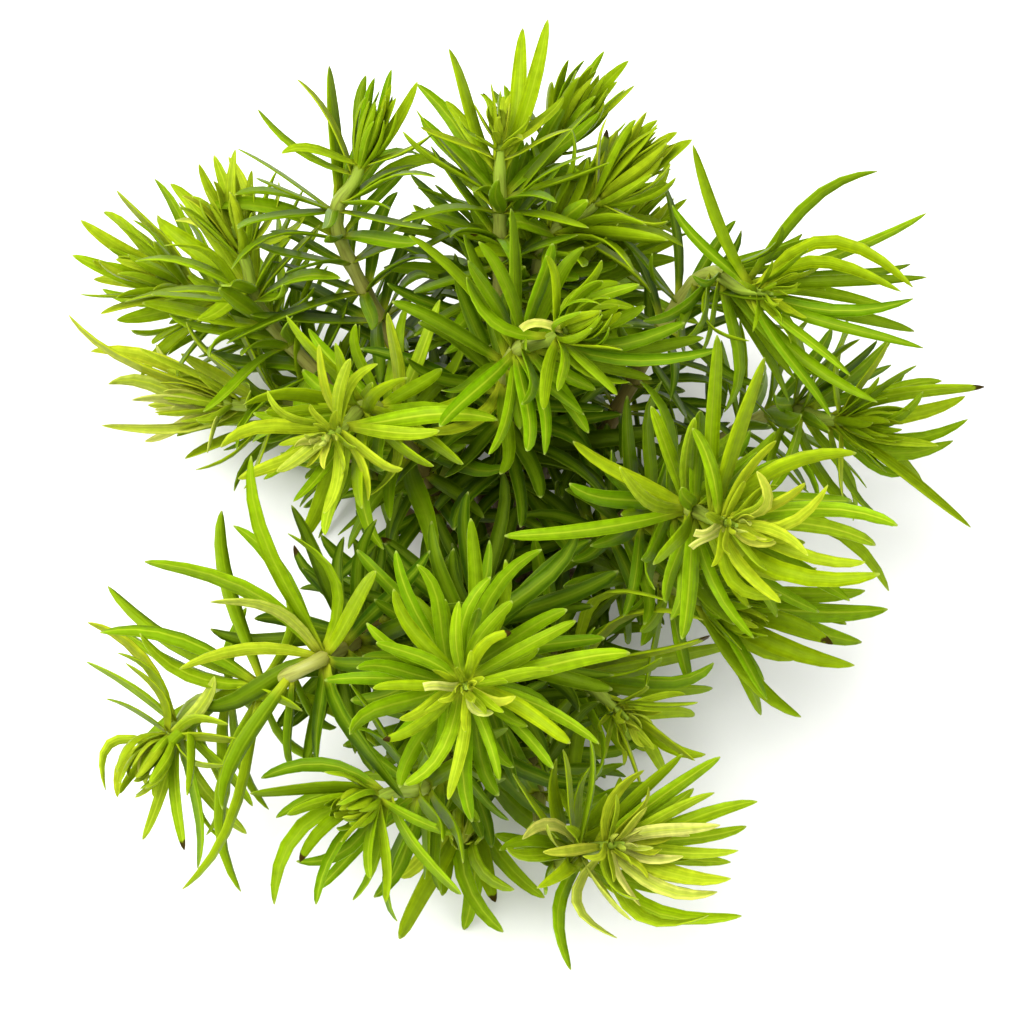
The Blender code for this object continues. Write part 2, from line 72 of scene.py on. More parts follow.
@dataclass(frozen=True)
class Viewpoint:
    """Where the clump is seen from: in front of it and well above. A place in the view is given as mm
    right of and above the middle of the cut, as it shows, and is worked out to a place in space here."""

    elevation: float = math.radians(60)
    distance: float = 800 * MM
    aim_right: float = 1.1 * MM
    aim_up: float = 7.4 * MM
    seen_width: float = 158.7 * MM
    sensor_mm: float = 36.0
    clip_start: float = 10 * MM

    @property
    def right(self) -> Vector:
        """The direction that shows as right."""
        return Vector((1, 0, 0))

    @property
    def up(self) -> Vector:
        """The direction that shows as up."""
        return Vector((0, math.sin(self.elevation), math.cos(self.elevation)))

    @property
    def towards(self) -> Vector:
        """The direction from the clump to the camera."""
        return Vector((0, -math.cos(self.elevation), math.sin(self.elevation)))

    @property
    def aim(self) -> Vector:
        """The point that shows in the middle of the view."""
        return self.aim_right * self.right + self.aim_up * self.up

    def shrink_at(self, point: Vector) -> float:
        """How much smaller a length is at this point than it shows in the view."""
        return 1 - (point - self.aim).dot(self.towards) / self.distance

    def placed(self, right: float, up: float, height: float) -> Vector:
        """The point at a height that shows at this place in the view.

        Args:
            right, up: where it shows, in metres from the middle of the cut.
            height: how high it stands, in metres.

        Returns:
            The point in space.
        """
        beyond = up - self.aim_up
        share = self.towards.z - beyond * self.up.z / self.distance
        nearer = (height - self.aim.z - beyond * self.up.z) / share
        flat = (right - self.aim_right) * self.right + beyond * self.up
        return self.aim + flat * (1 - nearer / self.distance) + nearer * self.towards

    def heading(self, right: float, up: float) -> Vector:
        """The direction, at length 1, of which these shares point right and up, and the rest nearer."""
        return right * self.right + up * self.up + math.sqrt(1 - right * right - up * up) * self.towards

    def add_camera(self) -> None:
        """Adds the camera that shows the clump from here."""
        bpy.ops.object.camera_add(
            location=self.aim + self.distance * self.towards,
            rotation=(math.pi / 2 - self.elevation, 0, 0),
        )
        camera = bpy.context.object
        camera.name = "camera"
        camera.data.sensor_width = self.sensor_mm
        camera.data.lens = self.sensor_mm * self.distance / self.seen_width
        camera.data.clip_start = self.clip_start
        bpy.context.scene.camera = camera


VIEW = Viewpoint()


def linear(code: str) -> Colour:
    """Turns a colour to linear.

    Args:
        code: its sRGB hex code, such as #86A806.

    Returns:
        The linear colour, with alpha.
    """
    shares = [int(code[i:i + 2], 16) / 255 for i in (1, 3, 5)]
    steps = [s / 12.92 if s <= 0.04045 else ((s + 0.055) / 1.055) ** 2.4 for s in shares]
    return (*steps, 1.0)


def grey(share: float) -> Colour:
    """A ramp's grey for this share of a mix."""
    return share, share, share, 1.0


def add_node(
    tree: bpy.types.NodeTree, kind: str, inputs: dict | None = None, stops: Sequence[tuple] = (),
    **settings: object,
) -> bpy.types.Node:
    """Adds a node with its settings and links.

    Args:
        tree: the material's nodes.
        kind: the node's type name, without the word ShaderNode at its front.
        inputs: for a socket's name or number, a value, or the node or output socket that feeds it.
        stops: for a colour ramp, its places and colours from left to right.
        settings: the node's own properties.

    Returns:
        The new node.
    """
    node = tree.nodes.new("ShaderNode" + kind)
    for name, value in settings.items():
        setattr(node, name, value)
    for place, _ in stops[2:]:
        node.color_ramp.elements.new(place)
    for i, (place, colour) in enumerate(stops):
        node.color_ramp.elements[i].position = place
        node.color_ramp.elements[i].color = colour
    for name, value in (inputs or {}).items():
        if isinstance(value, bpy.types.Node):
            value = value.outputs[0]
        if isinstance(value, bpy.types.NodeSocket):
            tree.links.new(value, node.inputs[name])
        else:
            node.inputs[name].default_value = value
    return node


def new_material(name: str) -> tuple[bpy.types.Material, bpy.types.NodeTree]:
    """A material with no nodes but its output.

    Args:
        name: the material's name.

    Returns:
        The material and its nodes.
    """
    material = bpy.data.materials.new(name)
    material.use_nodes = True
    tree = material.node_tree
    for node in list(tree.nodes):
        if node.type != "OUTPUT_MATERIAL":
            tree.nodes.remove(node)
    return material, tree


def show(tree: bpy.types.NodeTree, surface: bpy.types.Node) -> None:
    """Makes this shader the material's surface."""
    tree.links.new(surface.outputs[0], tree.nodes["Material Output"].inputs["Surface"])


@dataclass(frozen=True)
class Layer:
    """A colour that lies over another one. It is gone where what it reads is gone_at, and hides this share
    of what is under it where that is full_at."""

    colour: str
    share: float
    gone_at: float
    full_at: float

    def over(self, tree: bpy.types.NodeTree, under: bpy.types.Node, read: Feed) -> bpy.types.Node:
        """Lays this layer over a colour.

        Args:
            tree: the material's nodes.
            under: the colour that it lies over.
            read: what it reads.

        Returns:
            The colour with this layer on it.
        """
        stops = sorted([(self.gone_at, BLACK), (self.full_at, grey(self.share))])
        mask = add_node(tree, "ValToRGB", {"Fac": read}, stops)
        return add_node(tree, "MixRGB", {"Fac": mask, "Color1": under, "Color2": linear(self.colour)})


@dataclass(frozen=True)
class LeafFinish:
    """Fresh leaf tissue: a waxy skin over juicy green cells. It gives a satin gloss, a thin pale midrib,
    faint lengthwise veins, a pale point at the tip that is partly painted highlight, a thin pale line along
    the margin that is a painted highlight on the edges, and a duller, greyer underside. Its greens go from
    pale to dark with the leaf's age, which also carries painted light and shade. The foot, the point and
    the dead tip read 0 to 1 along the leaf, the margin and the rib 0 to 0.5 from its middle to its edge."""

    name: str = "fresh_leaf_waxy_cuticle"
    # From the newest leaf to the oldest; the dark old greens also serve as painted shade deep in the clump.
    ages: tuple[tuple[float, str], ...] = (
        (0.0, "#DBDA74"), (0.15, "#BDC92C"), (0.4, "#9AB50C"), (0.65, "#779A02"), (1.0, "#3C5A02"),
    )
    underside: Layer = Layer("#7E9A12", 0.4, gone_at=0.6, full_at=0.4)
    foot: Layer = Layer("#CCD430", 0.8, gone_at=0.16, full_at=0.0)
    # A thin pale line along both edges: a painted highlight for the gloss on the leaf's edges.
    margin: Layer = Layer("#BBCF2A", 0.14, gone_at=0.45, full_at=0.49)
    midrib: Layer = Layer("#D2DE3A", 0.8, gone_at=0.0, full_at=1.0)
    # A pale point at the tip: partly the tip's own pale spot, partly a painted highlight on the tip.
    point: Layer = Layer("#DFE38A", 0.35, gone_at=0.975, full_at=1.0)
    dead_tip: Layer = Layer("#3A2408", 1.0, gone_at=0.985, full_at=1.0)
    dead_raggedness: float = 0.12
    rib_full_at: float = 0.015
    rib_gone_at: float = 0.09
    rib_left_in_old: float = 0.2
    hues: Pair = (0.488, 0.512)
    noises: Pair = (0.6, 1.4)
    shades: Pair = (0.68, 1.34)
    noise_detail: float = 3.0
    mottle_mm: float = 1.3
    streak_mm: Pair = (0.45, 7.0)
    leaf_mm: Pair = (2.0, 20.0)
    leaves_apart: float = 60.0
    veins: int = 6
    vein_shade: float = 0.04
    vein_relief: float = 0.5
    relief_mm: float = 0.03
    relief_strength: float = 0.5
    roughnesses: Pair = (0.28, 0.5)
    specular: float = 0.26
    sheen_colour: str = "#E4EE8A"
    glow: float = 0.25
    glow_colour: str = "#B6CE00"
    glow_tint: float = 0.5

    def material(self) -> bpy.types.Material:
        """Makes the leaf material.

        Returns:
            The material, which reads the blade's own map and the leaf's attribute.
        """
        material, tree = new_material(self.name)
        read = self.patterns(tree)
        colour = self.marked(tree, read, self.green(tree, read))
        smooth, rough = self.roughnesses
        roughness = add_node(
            tree, "MapRange", {"Value": read["mottle"], "To Min": smooth, "To Max": rough}
        )
        relief = add_node(
            tree, "Math", {0: read["vein"], 1: self.vein_relief, 2: read["rib"]}, operation="MULTIPLY_ADD"
        )
        bump = add_node(
            tree, "Bump",
            {"Height": relief, "Strength": self.relief_strength, "Distance": self.relief_mm * MM},
        )
        skin = add_node(
            tree, "BsdfPrincipled",
            {
                "Base Color": colour, "Roughness": roughness, "Normal": bump,
                "Specular IOR Level": self.specular, "Specular Tint": linear(self.sheen_colour),
            },
        )
        glow = add_node(
            tree, "MixRGB",
            {"Fac": self.glow_tint, "Color1": colour, "Color2": linear(self.glow_colour)},
        )
        through = add_node(tree, "BsdfTranslucent", {"Color": glow})
        show(tree, add_node(tree, "MixShader", {"Fac": self.glow, 1: skin, 2: through}))
        return material

    def patterns(self, tree: bpy.types.NodeTree) -> dict[str, Feed]:
        """Reads the blade's own map, u across and v along, and the leaf's attribute, which holds its age
        with painted light and shade added, its tint, how far its tip is browned, and whether this is the
        upper side.

        Args:
            tree: the material's nodes.

        Returns:
            What the leaf's look is made from, by name.
        """
        leaf = add_node(tree, "Attribute", attribute_name="leaf")
        look = add_node(tree, "SeparateColor", {"Color": leaf.outputs["Color"]})
        place = add_node(tree, "SeparateXYZ", {"Vector": add_node(tree, "UVMap", uv_map="blade")})
        coords = add_node(tree, "TexCoord").outputs["Object"]
        mottle = add_node(
            tree, "TexNoise",
            {"Vector": coords, "Scale": 1 / (self.mottle_mm * MM), "Detail": self.noise_detail},
        )
        centred = add_node(tree, "Math", {0: place.outputs["X"], 1: 0.5}, operation="SUBTRACT")
        aside = add_node(tree, "Math", {0: centred}, operation="ABSOLUTE")
        rib = add_node(
            tree, "ValToRGB", {"Fac": aside}, ((self.rib_full_at, WHITE), (self.rib_gone_at, BLACK))
        )
        turns = add_node(tree, "Math", {0: aside, 1: 2 * math.pi * self.veins}, operation="MULTIPLY")
        return {
            "age": look.outputs["Red"],
            "tint": look.outputs["Green"],
            "browned": look.outputs["Blue"],
            "upper side": leaf.outputs["Alpha"],
            "across": place.outputs["X"],
            "along": place.outputs["Y"],
            "aside": aside,
            "mottle": mottle,
            "rib": rib,
            "vein": add_node(tree, "Math", {0: turns}, operation="COSINE"),
        }

    def green(self, tree: bpy.types.NodeTree, read: dict[str, Feed]) -> bpy.types.Node:
        """The leaf's green for its age and tint, mottled, veined, and streaked along the leaf.

        Args:
            tree: the material's nodes.
            read: what the leaf's look is made from.

        Returns:
            The green.
        """
        # The ages carry each shoot's painted light and shade and the painted shade of deep whorls, so the
        # darker greens here also paint shade.
        stops = [(share, linear(code)) for share, code in self.ages]
        colour = add_node(tree, "ValToRGB", {"Fac": read["age"]}, stops)
        yellower, bluer = self.hues
        hue = add_node(tree, "MapRange", {"Value": read["tint"], "To Min": yellower, "To Max": bluer})
        # Each leaf's tint moves its streaks, so that no two leaves show the same ones.
        moved = add_node(tree, "Math", {0: read["tint"], 1: self.leaves_apart}, operation="MULTIPLY")
        own = add_node(tree, "CombineXYZ", {"X": read["across"], "Y": read["along"], "Z": moved})
        across_leaf, along_leaf = (leaf / streak for leaf, streak in zip(self.leaf_mm, self.streak_mm))
        drawn = add_node(tree, "Mapping", {"Vector": own, "Scale": (across_leaf, along_leaf, 1)})
        streaks = add_node(
            tree, "TexNoise", {"Vector": drawn, "Scale": 1.0, "Detail": self.noise_detail}
        )
        noise = add_node(tree, "Math", {0: read["mottle"], 1: streaks}, operation="ADD")
        (low, high), (dark, light) = self.noises, self.shades
        shade = add_node(
            tree, "MapRange",
            {"Value": noise, "From Min": low, "From Max": high, "To Min": dark, "To Max": light},
        )
        veined = add_node(
            tree, "Math", {0: read["vein"], 1: self.vein_shade, 2: shade}, operation="MULTIPLY_ADD"
        )
        return add_node(tree, "HueSaturation", {"Color": colour, "Hue": hue, "Value": veined})

    def marked(
        self, tree: bpy.types.NodeTree, read: dict[str, Feed], colour: bpy.types.Node
    ) -> bpy.types.Node:
        """Lays the leaf's marks over its green. The midrib shows less on old leaves, and the dead tip's
        edge follows the mottle.

        Args:
            tree: the material's nodes.
            read: what the leaf's look is made from.
            colour: the green.

        Returns:
            The leaf's whole colour.
        """
        fresh = add_node(
            tree, "MapRange", {"Value": read["age"], "To Min": 1.0, "To Max": self.rib_left_in_old}
        )
        strength = add_node(tree, "Math", {0: fresh, 1: read["tint"]}, operation="MULTIPLY")
        ribbed = add_node(tree, "Math", {0: read["rib"], 1: strength}, operation="MULTIPLY")
        ragged = add_node(
            tree, "Math", {0: read["mottle"], 1: self.dead_raggedness, 2: read["along"]},
            operation="MULTIPLY_ADD",
        )
        dead = add_node(tree, "Math", {0: ragged, 1: read["browned"]}, operation="MULTIPLY")
        layers = (
            (self.underside, read["upper side"]),
            (self.foot, read["along"]),
            (self.margin, read["aside"]),
            (self.midrib, ribbed),
            (self.point, read["along"]),
            (self.dead_tip, dead),
        )
        for layer, where in layers:
            colour = layer.over(tree, colour, where)
        return colour


@dataclass(frozen=True)
class StemFinish:
    """Soft herb stem: pale green near its tip, and tan to brown where it has grown old, with fine
    lengthwise streaks. It is smooth and only slightly glossy."""

    name: str = "soft_herb_stem"
    ages: tuple[tuple[float, str], ...] = (
        (0.0, "#54421A"), (0.4, "#84743A"), (0.7, "#A0A54A"), (1.0, "#98B432"),
    )
    streak: Layer = Layer("#4F4010", 0.6, gone_at=0.48, full_at=0.75)
    streak_mm: Pair = (0.5, 4.5)
    noise_detail: float = 4.0
    roughness: float = 0.5
    relief_mm: float = 0.1
    relief_strength: float = 0.5

    def material(self) -> bpy.types.Material:
        """Makes the stem material.

        Returns:
            The material. It reads the stem's own map, u around in mm and v along in mm, and the attribute
            that holds how far up the stem a place is.
        """
        material, tree = new_material(self.name)
        stem = add_node(tree, "Attribute", attribute_name="leaf")
        share = add_node(tree, "SeparateColor", {"Color": stem.outputs["Color"]})
        stops = [(place, linear(code)) for place, code in self.ages]
        colour = add_node(tree, "ValToRGB", {"Fac": share}, stops)
        around, along = self.streak_mm
        drawn = add_node(
            tree, "Mapping",
            {"Vector": add_node(tree, "UVMap", uv_map="blade"), "Scale": (1 / around, 1 / along, 1)},
        )
        streaks = add_node(
            tree, "TexNoise", {"Vector": drawn, "Scale": 1.0, "Detail": self.noise_detail}
        )
        colour = self.streak.over(tree, colour, streaks)
        bump = add_node(
            tree, "Bump",
            {"Height": streaks, "Strength": self.relief_strength, "Distance": self.relief_mm * MM},
        )
        show(tree, add_node(
            tree, "BsdfPrincipled", {"Base Color": colour, "Roughness": self.roughness, "Normal": bump}
        ))
        return material


@dataclass(frozen=True)
class BarkFinish:
    """Old basal stem: dull tan tissue that has turned corky, with darker brown in its hollows."""

    name: str = "corky_basal_stem"
    hollows: tuple[float, str] = (0.38, "#4A3512")
    ridges: tuple[float, str] = (0.62, "#A08A4C")
    grain_mm: float = 1.6
    noise_detail: float = 6.0
    roughness: float = 0.75
    relief_mm: float = 0.3
    relief_strength: float = 0.7

    def material(self) -> bpy.types.Material:
        """Makes the bark material.

        Returns:
            The material, which reads the piece's own coordinates.
        """
        material, tree = new_material(self.name)
        coords = add_node(tree, "TexCoord").outputs["Object"]
        grain = add_node(
            tree, "TexNoise",
            {"Vector": coords, "Scale": 1 / (self.grain_mm * MM), "Detail": self.noise_detail},
        )
        stops = [(height, linear(code)) for height, code in (self.hollows, self.ridges)]
        colour = add_node(tree, "ValToRGB", {"Fac": grain}, stops)
        bump = add_node(
            tree, "Bump",
            {"Height": grain, "Strength": self.relief_strength, "Distance": self.relief_mm * MM},
        )
        show(tree, add_node(
            tree, "BsdfPrincipled", {"Base Color": colour, "Roughness": self.roughness, "Normal": bump}
        ))
        return material


class Bud(Enum):
    """How the newest leaves of a shoot stand."""

    OPEN = "open"
    CLOSED = "closed"
    BRUSH = "brush"


@dataclass(frozen=True)
class Reading:
    """One shoot as it shows. tip is where its tip shows, in mm right of and above the cut, and its height
    in mm. lean is the share of its tip's direction that points right and up in the view. A leaf is
    (angle, length), (angle, length, bow) or (angle, length, bow, age) as it shows: degrees turning left
    from the right hand, mm from the tip or whorl, mm that its middle stands out to the left of the straight
    way, and 0 for the palest new leaf to 1 for the darkest old one. rosette, whorl and lower are the leaves
    at the tip, in the whorl under it and in the next whorl that shows, and below gives how far in mm those
    two whorls are from the tip. via are places that the stem passes through, given as tip is. pale are
    young leaves that stand in the bud, stubs are such leaves with their tips torn off, and browned are the
    angles of leaves with dead tips. bare is the range of directions in which no more leaves show, down
    to bare_down mm from the tip. straight is how far the stem is straight there, in mm. tone is added to
    the age of all the shoot's leaves: it says partly how much older they look and partly paints light and
    shade on the whole shoot, mostly lighter on the shoots to the left, where the light comes from. broad
    says how much broader and reach how much longer the leaves are. blunt is 0 for leaves with sharp points.
    bud, bud_size and bud_spread give the newest leaves' form."""

    tip: Place
    lean: Pair
    rosette: Shown
    whorl: Shown = ()
    lower: Shown = ()
    below: Pair = (7.5, 17)
    via: tuple[Place, ...] = ()
    pale: Shown = ()
    stubs: Shown = ()
    browned: tuple[float, ...] = ()
    bare: Pair | None = None
    bare_down: float = 40
    bud: Bud = Bud.OPEN
    bud_size: float = 1.0
    bud_spread: float = 1.0
    # Painted light and shade for the whole shoot, partly also how much older its leaves look; the shoots on
    # the left are mostly lighter, as if lit from there.
    tone: float = 0.0
    broad: float = 1.0
    reach: float = 1.0
    blunt: float = 0.35
    straight: float = 13


READINGS = {
    "front_centre": Reading(
        tip=(-6.5, -19.1, 65),
        lean=(0.05, -0.1),
        rosette=(
            (126, 18, 1, 0.5), (154, 15, -1, 0.5), (182, 14, 0, 0.4), (207, 11), (214, 15, 1, 0.45),
            (240, 18, 2, 0.35), (263, 18, 1.2, 0.28), (291, 16, 0.6, 0.45), (331, 19, 1.1, 0.4),
            (9, 14, 0, 0.4), (29, 20, 0.2, 0.5), (93, 13, 0.7, 0.35), (60, 15, 1.5, 0.5), (75, 17, 2, 0.5),
        ),
        whorl=(
            (115, 22, 1), (85, 25, -2), (57, 24, 2), (68, 20, -2), (336, 24, 1.3, 0.4), (9, 27, -0.4, 0.35),
            (318, 20, 1),
        ),
        pale=((349, 8, -1.2, 0.05), (318, 6, -1.4), (49, 11, 1.6, 0.3)),
        stubs=((180, 6.3),),
        browned=(214, 49),
        bud_size=0.85,
        tone=0.06,
        blunt=1.0,
    ),
    "front_right": Reading(
        tip=(14.3, -44.6, 32),
        lean=(0.55, 0.05),
        rosette=(
            (48, 20, 0.7, 0.55), (37, 24, 0, 0.5), (27, 19, 0, 0.45), (17, 26, -0.5, 0.5), (13, 18, 1, 0.12),
            (7, 24, 0, 0.45), (6, 16.5, 1, 0.08), (0, 22, 0, 0.4), (353, 21.5, 0, 0.4), (349, 21, -0.5, 0.3),
            (346, 20, -1, 0.14), (339, 18.6, -2, 0.12), (336, 24.6, -5, 0.5), (328, 18.7, -5, 0.5),
            (305, 9, -1.5, 0.4), (278, 14, -5, 0.15), (181, 9.5, 0, 0.25), (63, 13.5, 2, 0.3),
        ),
        whorl=(
            (130, 17, 1, 0.5), (116, 16, -1, 0.55), (101, 17, 1, 0.5), (87, 18, 0, 0.5), (170, 12, 0, 0.5),
            (263, 17, -3, 0.75), (173, 13, -1.5, 0.7), (160, 10, -3, 0.2), (135, 8, 1, 0.15),
            (309, 11, -0.5, 0.2),
        ),
        below=(3.2, 14),
        pale=((8, 12, 1.2), (352, 11, -1), (295, 10, -1)),
        bare=(190, 325),
        tone=-0.1,
        blunt=0.5,
    ),
    "front_left": Reading(
        tip=(-18.6, -36.4, 42),
        lean=(-0.6, -0.25),
        rosette=(
            (179, 21, -1, 0.65), (174, 20, -3, 0.65), (190, 14, -0.8, 0.45), (193, 18, -2, 0.65),
            (217, 18, 2.5, 0.6), (219, 15, -2, 0.6), (224, 24, -5, 0.5), (237, 20, -2, 0.55),
            (252, 17, 0.7, 0.6), (266, 12, -0.7, 0.35), (275, 16, 0.4, 0.35), (307, 19, -1.5, 0.35),
            (336, 13, -0.4, 0.5), (150, 9), (230, 8),
        ),
        whorl=((224, 24), (300, 12), (110, 15), (140, 15)),
        browned=(219,),
        bare=(150, 240),
        bud=Bud.CLOSED,
        bud_size=0.7,
        tone=0.1,
        blunt=1.0,
    ),
    "left_front": Reading(
        tip=(-51.0, -26.1, 34),
        lean=(-0.55, -0.65),
        rosette=(
            (130, 21, -2.2, 0.3), (120, 15, -2.7, 0.5), (144, 17, -0.9, 0.45), (147, 11, -0.5, 0.6),
            (13, 10, 2, 0.35), (357, 13, 0.7, 0.35), (336, 10, -2.2, 0.35), (8, 20, 3.4, 0.55),
            (314, 17, 0.4, 0.6), (301, 20, -2.1, 0.3), (274, 19, -1.3, 0.45), (279, 22, 0.6, 0.6),
            (252, 19, 0.6, 0.35), (52, 12, -1, 0.15), (118, 13, -2.5, 0.4),
        ),
        whorl=(
            (104, 28, 1.1, 0.7), (90, 20, -4.3, 0.55), (161, 26, -2.1, 0.65), (148, 29, 1.7, 0.7),
            (331, 20, 1.5, 0.5), (306, 15, -2.8, 0.55), (249, 33, 1.5, 0.55), (264, 32, -4, 0.65),
            (327, 8, 0.3, 0.5), (160, 24, 2.5, 0.5), (155, 20, 2.5, 0.45),
        ),
        lower=(
            (151, 31, -3.8, 0.55), (109, 33, 1.2, 0.6), (125, 25, -1.5, 0.6), (105, 20, -4.7, 0.65),
            (184, 22, -2.1, 0.25), (58, 16, 0, 0.5), (152, 19, -3.2, 0.1),
        ),
        below=(19.7, 32.6),
        via=((-27.1, -14.7, 47), (-37.6, -19.6, 42)),
        pale=((219, 11, -4.5, 0.3), (229, 11, -2.9, 0.25), (245, 7, -1, 0.35), (261, 8, 0, 0.3)),
        browned=(274,),
        bare=(90, 200),
        bud=Bud.CLOSED,
        bud_size=0.9,
        tone=-0.05,
        blunt=0.6,
        straight=6,
    ),
    "left_inner": Reading(
        tip=(-25.3, 20.5, 62),
        lean=(-0.4, -0.2),
        rosette=(
            (213, 15, -0.5, 0.5), (216, 11, 0, 0.15), (106, 13, 1.1, 0.35), (77, 11, 0.9, 0.35),
            (57, 12, 1.4, 0.4), (190, 19), (207, 18, 1, 0.3), (2, 24, 0.8, 0.45), (357, 15, -0.5, 0.35),
            (261, 17), (262, 13), (295, 12), (150, 12), (330, 12),
        ),
        whorl=((130, 18), (180, 18), (235, 18), (330, 18)),
        lower=((89, 16, -1.7, 0.35), (66, 20, -0.4, 0.45), (259, 12, 2.8, 0.3), (21, 18, -1.9, 0.6)),
        bud_size=0.75,
        tone=-0.08,
        blunt=0.6,
    ),
    "centre_back": Reading(
        tip=(7.4, 34.4, 72),
        lean=(0.5, 0.3),
        rosette=(
            (39, 14, 2.4, 0.4), (31, 16, 1.9, 0.35), (18, 13, 2.6, 0.25), (344, 10, -0.6, 0.15),
            (7, 21, -2.2, 0.6), (1, 24, -2.4, 0.65), (356, 26, -2.1, 0.65), (331, 14, -1.4, 0.45),
            (313, 13, 0, 0.45), (258, 12, -0.6, 0.3), (268, 9, 1.2, 0.3), (144, 16, 3), (60, 13), (100, 12),
        ),
        whorl=(
            (275, 16, 0.5, 0.5), (284, 17, 1.4, 0.55), (255, 17, 0.9, 0.35), (134, 24, -1.1, 0.45),
            (226, 17, 0.2, 0.5), (120, 15),
        ),
        lower=((210, 17, 3.4, 0.15),),
        stubs=((180, 7),),
        bud=Bud.CLOSED,
        tone=0.17,
        blunt=0.8,
    ),
    "right_inner": Reading(
        tip=(32.6, 6.2, 58),
        lean=(0.45, -0.1),
        rosette=(
            (358, 28, 1.6, 0.5), (351, 26, 1.2, 0.35), (344, 24, -0.9, 0.3), (25, 24, 2.7, 0.4),
            (17, 18, -3.6, 0.2), (25, 14, -0.7, 0.2), (56, 15, 0.9, 0.3), (73, 26, 0.6, 0.5),
            (90, 28, 0.5, 0.5), (338, 14, 1.4, 0.2), (310, 15, -4, 0.4), (335, 18, -3.3, 0.25),
            (108, 15, -1, 0.4), (306, 15.5, -1.5, 0.3), (350, 11, 0, 0.2),
        ),
        whorl=(
            (150, 13, 2.2, 0.3), (150, 21, 0.3, 0.4), (188, 29, 0.8, 0.55), (112, 17, 0, 0.45),
            (89, 14, 0.9, 0.35), (341, 30, -3.9, 0.5), (338, 34, 5, 0.5), (322, 26, -2), (310, 22, 1),
            (296, 22, -1.5), (3, 26, 1), (330, 28, 0, 0.65),
        ),
        pale=((62, 9, -3.6, 0.1), (20, 8, -1, 0.15), (338, 8, -1, 0.15)),
        stubs=((213, 6.9), (195, 5.5)),
        blunt=0.8,
    ),
    "right_back": Reading(
        tip=(37.2, 41.9, 60),
        lean=(0.6, -0.05),
        rosette=(
            (113, 24, 1.2, 0.4), (134, 18, 0.5, 0.55), (41, 27, 2, 0.45), (22, 30, -0.6, 0.35),
            (0, 24, 7.2, 0.2), (358, 22, 4.7, 0.3), (354, 22, 1.1, 0.4), (356, 26, -2.4, 0.5),
            (347, 28, -0.2, 0.55), (341, 29, -1.1, 0.6), (3, 28, 0.3, 0.6), (9, 27, 0.4, 0.6),
            (36, 10, -0.9, 0.35), (318, 20, 0, 0.35), (319, 27, -1.9, 0.45), (301, 23, -1.1, 0.5),
        ),
        whorl=((293, 12, -3.7, 0.3), (215, 14, 1.9, 0.6), (320, 27), (301, 23), (240, 14)),
        bare=(40, 150),
        bare_down=14,
        tone=0.18,
        broad=0.8,
    ),
    "right_low": Reading(
        tip=(50.7, 21.6, 28),
        lean=(0.8, -0.05),
        rosette=(
            (12, 24, 2, 0.3), (10, 22, -1.2, 0.4), (19, 19, 0.6, 0.45), (20, 13, -2.5, 0.5),
            (0, 21, -3.2, 0.6), (351, 20, -3.5, 0.55), (322, 27, 0.8, 0.5), (37, 14, 0, 0.6),
            (300, 19, -2.2, 0.6), (60, 14), (85, 14), (270, 12), (345, 15),
        ),
        whorl=(
            (307, 22), (250, 18), (60, 18), (100, 16), (330, 24, 1), (25, 17.5, 0.3, 0.85),
            (33, 17, 0.5, 0.9), (41, 16, -0.4, 0.95), (49, 14, 0.5, 0.9),
        ),
        browned=(12,),
        bud=Bud.BRUSH,
        bud_size=0.7,
        bud_spread=1.3,
        tone=0.03,
    ),
    "back_left": Reading(
        tip=(-22.8, 60.1, 62),
        lean=(0.2, 0.78),
        rosette=(
            (122, 17, -0.9, 0.3), (147, 18, 1.5, 0.4), (56, 17, -0.5, 0.4), (79, 15, 0, 0.6),
            (71, 15, -1, 0.65), (87, 14, 0.4, 0.7), (20, 12), (175, 12),
        ),
        whorl=((175, 15, -1), (35, 16), (195, 15), (345, 15), (150, 17, 0, 0.4), (163, 12, 0, 0.4)),
        bare=(95, 145),
        bud=Bud.BRUSH,
        bud_size=0.8,
        bud_spread=0.4,
        tone=0.04,
    ),
    "back_centre": Reading(
        tip=(-0.8, 60.8, 68),
        lean=(0, 0.8),
        rosette=(
            (113, 20, 1, 0.45), (97, 11), (127, 14), (81, 23, -1.2, 0.4), (72, 24, -1, 0.4), (45, 14),
            (160, 13), (20, 12),
        ),
        whorl=((123, 24, -1.5, 0.5), (117, 20, 0, 0.5), (140, 18), (30, 15), (190, 15), (345, 14)),
        tone=0.04,
    ),
    "back_tall": Reading(
        tip=(6.5, 62, 54),
        lean=(0.45, 0.75),
        rosette=((77, 16), (63, 18), (50, 20), (40, 18), (90, 10), (20, 12), (120, 12)),
        whorl=((100, 15), (10, 15), (60, 15), (330, 14)),
        bud=Bud.BRUSH,
        bud_spread=0.7,
        tone=0.04,
        broad=1.15,
    ),
    "back_right": Reading(
        tip=(13.5, 54.8, 60),
        lean=(0.6, 0.6),
        rosette=((59, 17), (50, 16), (40, 14), (70, 13), (25, 12), (85, 12), (340, 11)),
        whorl=((80, 15), (0, 14), (330, 14), (270, 14)),
        bud=Bud.BRUSH,
        bud_spread=0.7,
        tone=-0.09,
        broad=1.25,
    ),
    "back_right_low": Reading(
        tip=(14.5, 46.4, 34),
        lean=(0.6, 0.6),
        rosette=((54, 19), (45, 16), (62, 15), (35, 14), (20, 12), (75, 12), (330, 11)),
        whorl=((90, 14), (0, 14), (320, 14), (60, 16)),
        bud=Bud.BRUSH,
        bud_spread=0.8,
        tone=-0.04,
        broad=1.2,
    ),
    "left_far": Reading(
        tip=(-48.8, 41.9, 26),
        lean=(-0.8, 0.35),
        rosette=((164, 19), (148, 20), (139, 19), (127, 19), (175, 14), (110, 12), (200, 13)),
        whorl=((90, 15), (200, 15), (160, 19), (240, 14)),
        bud=Bud.BRUSH,
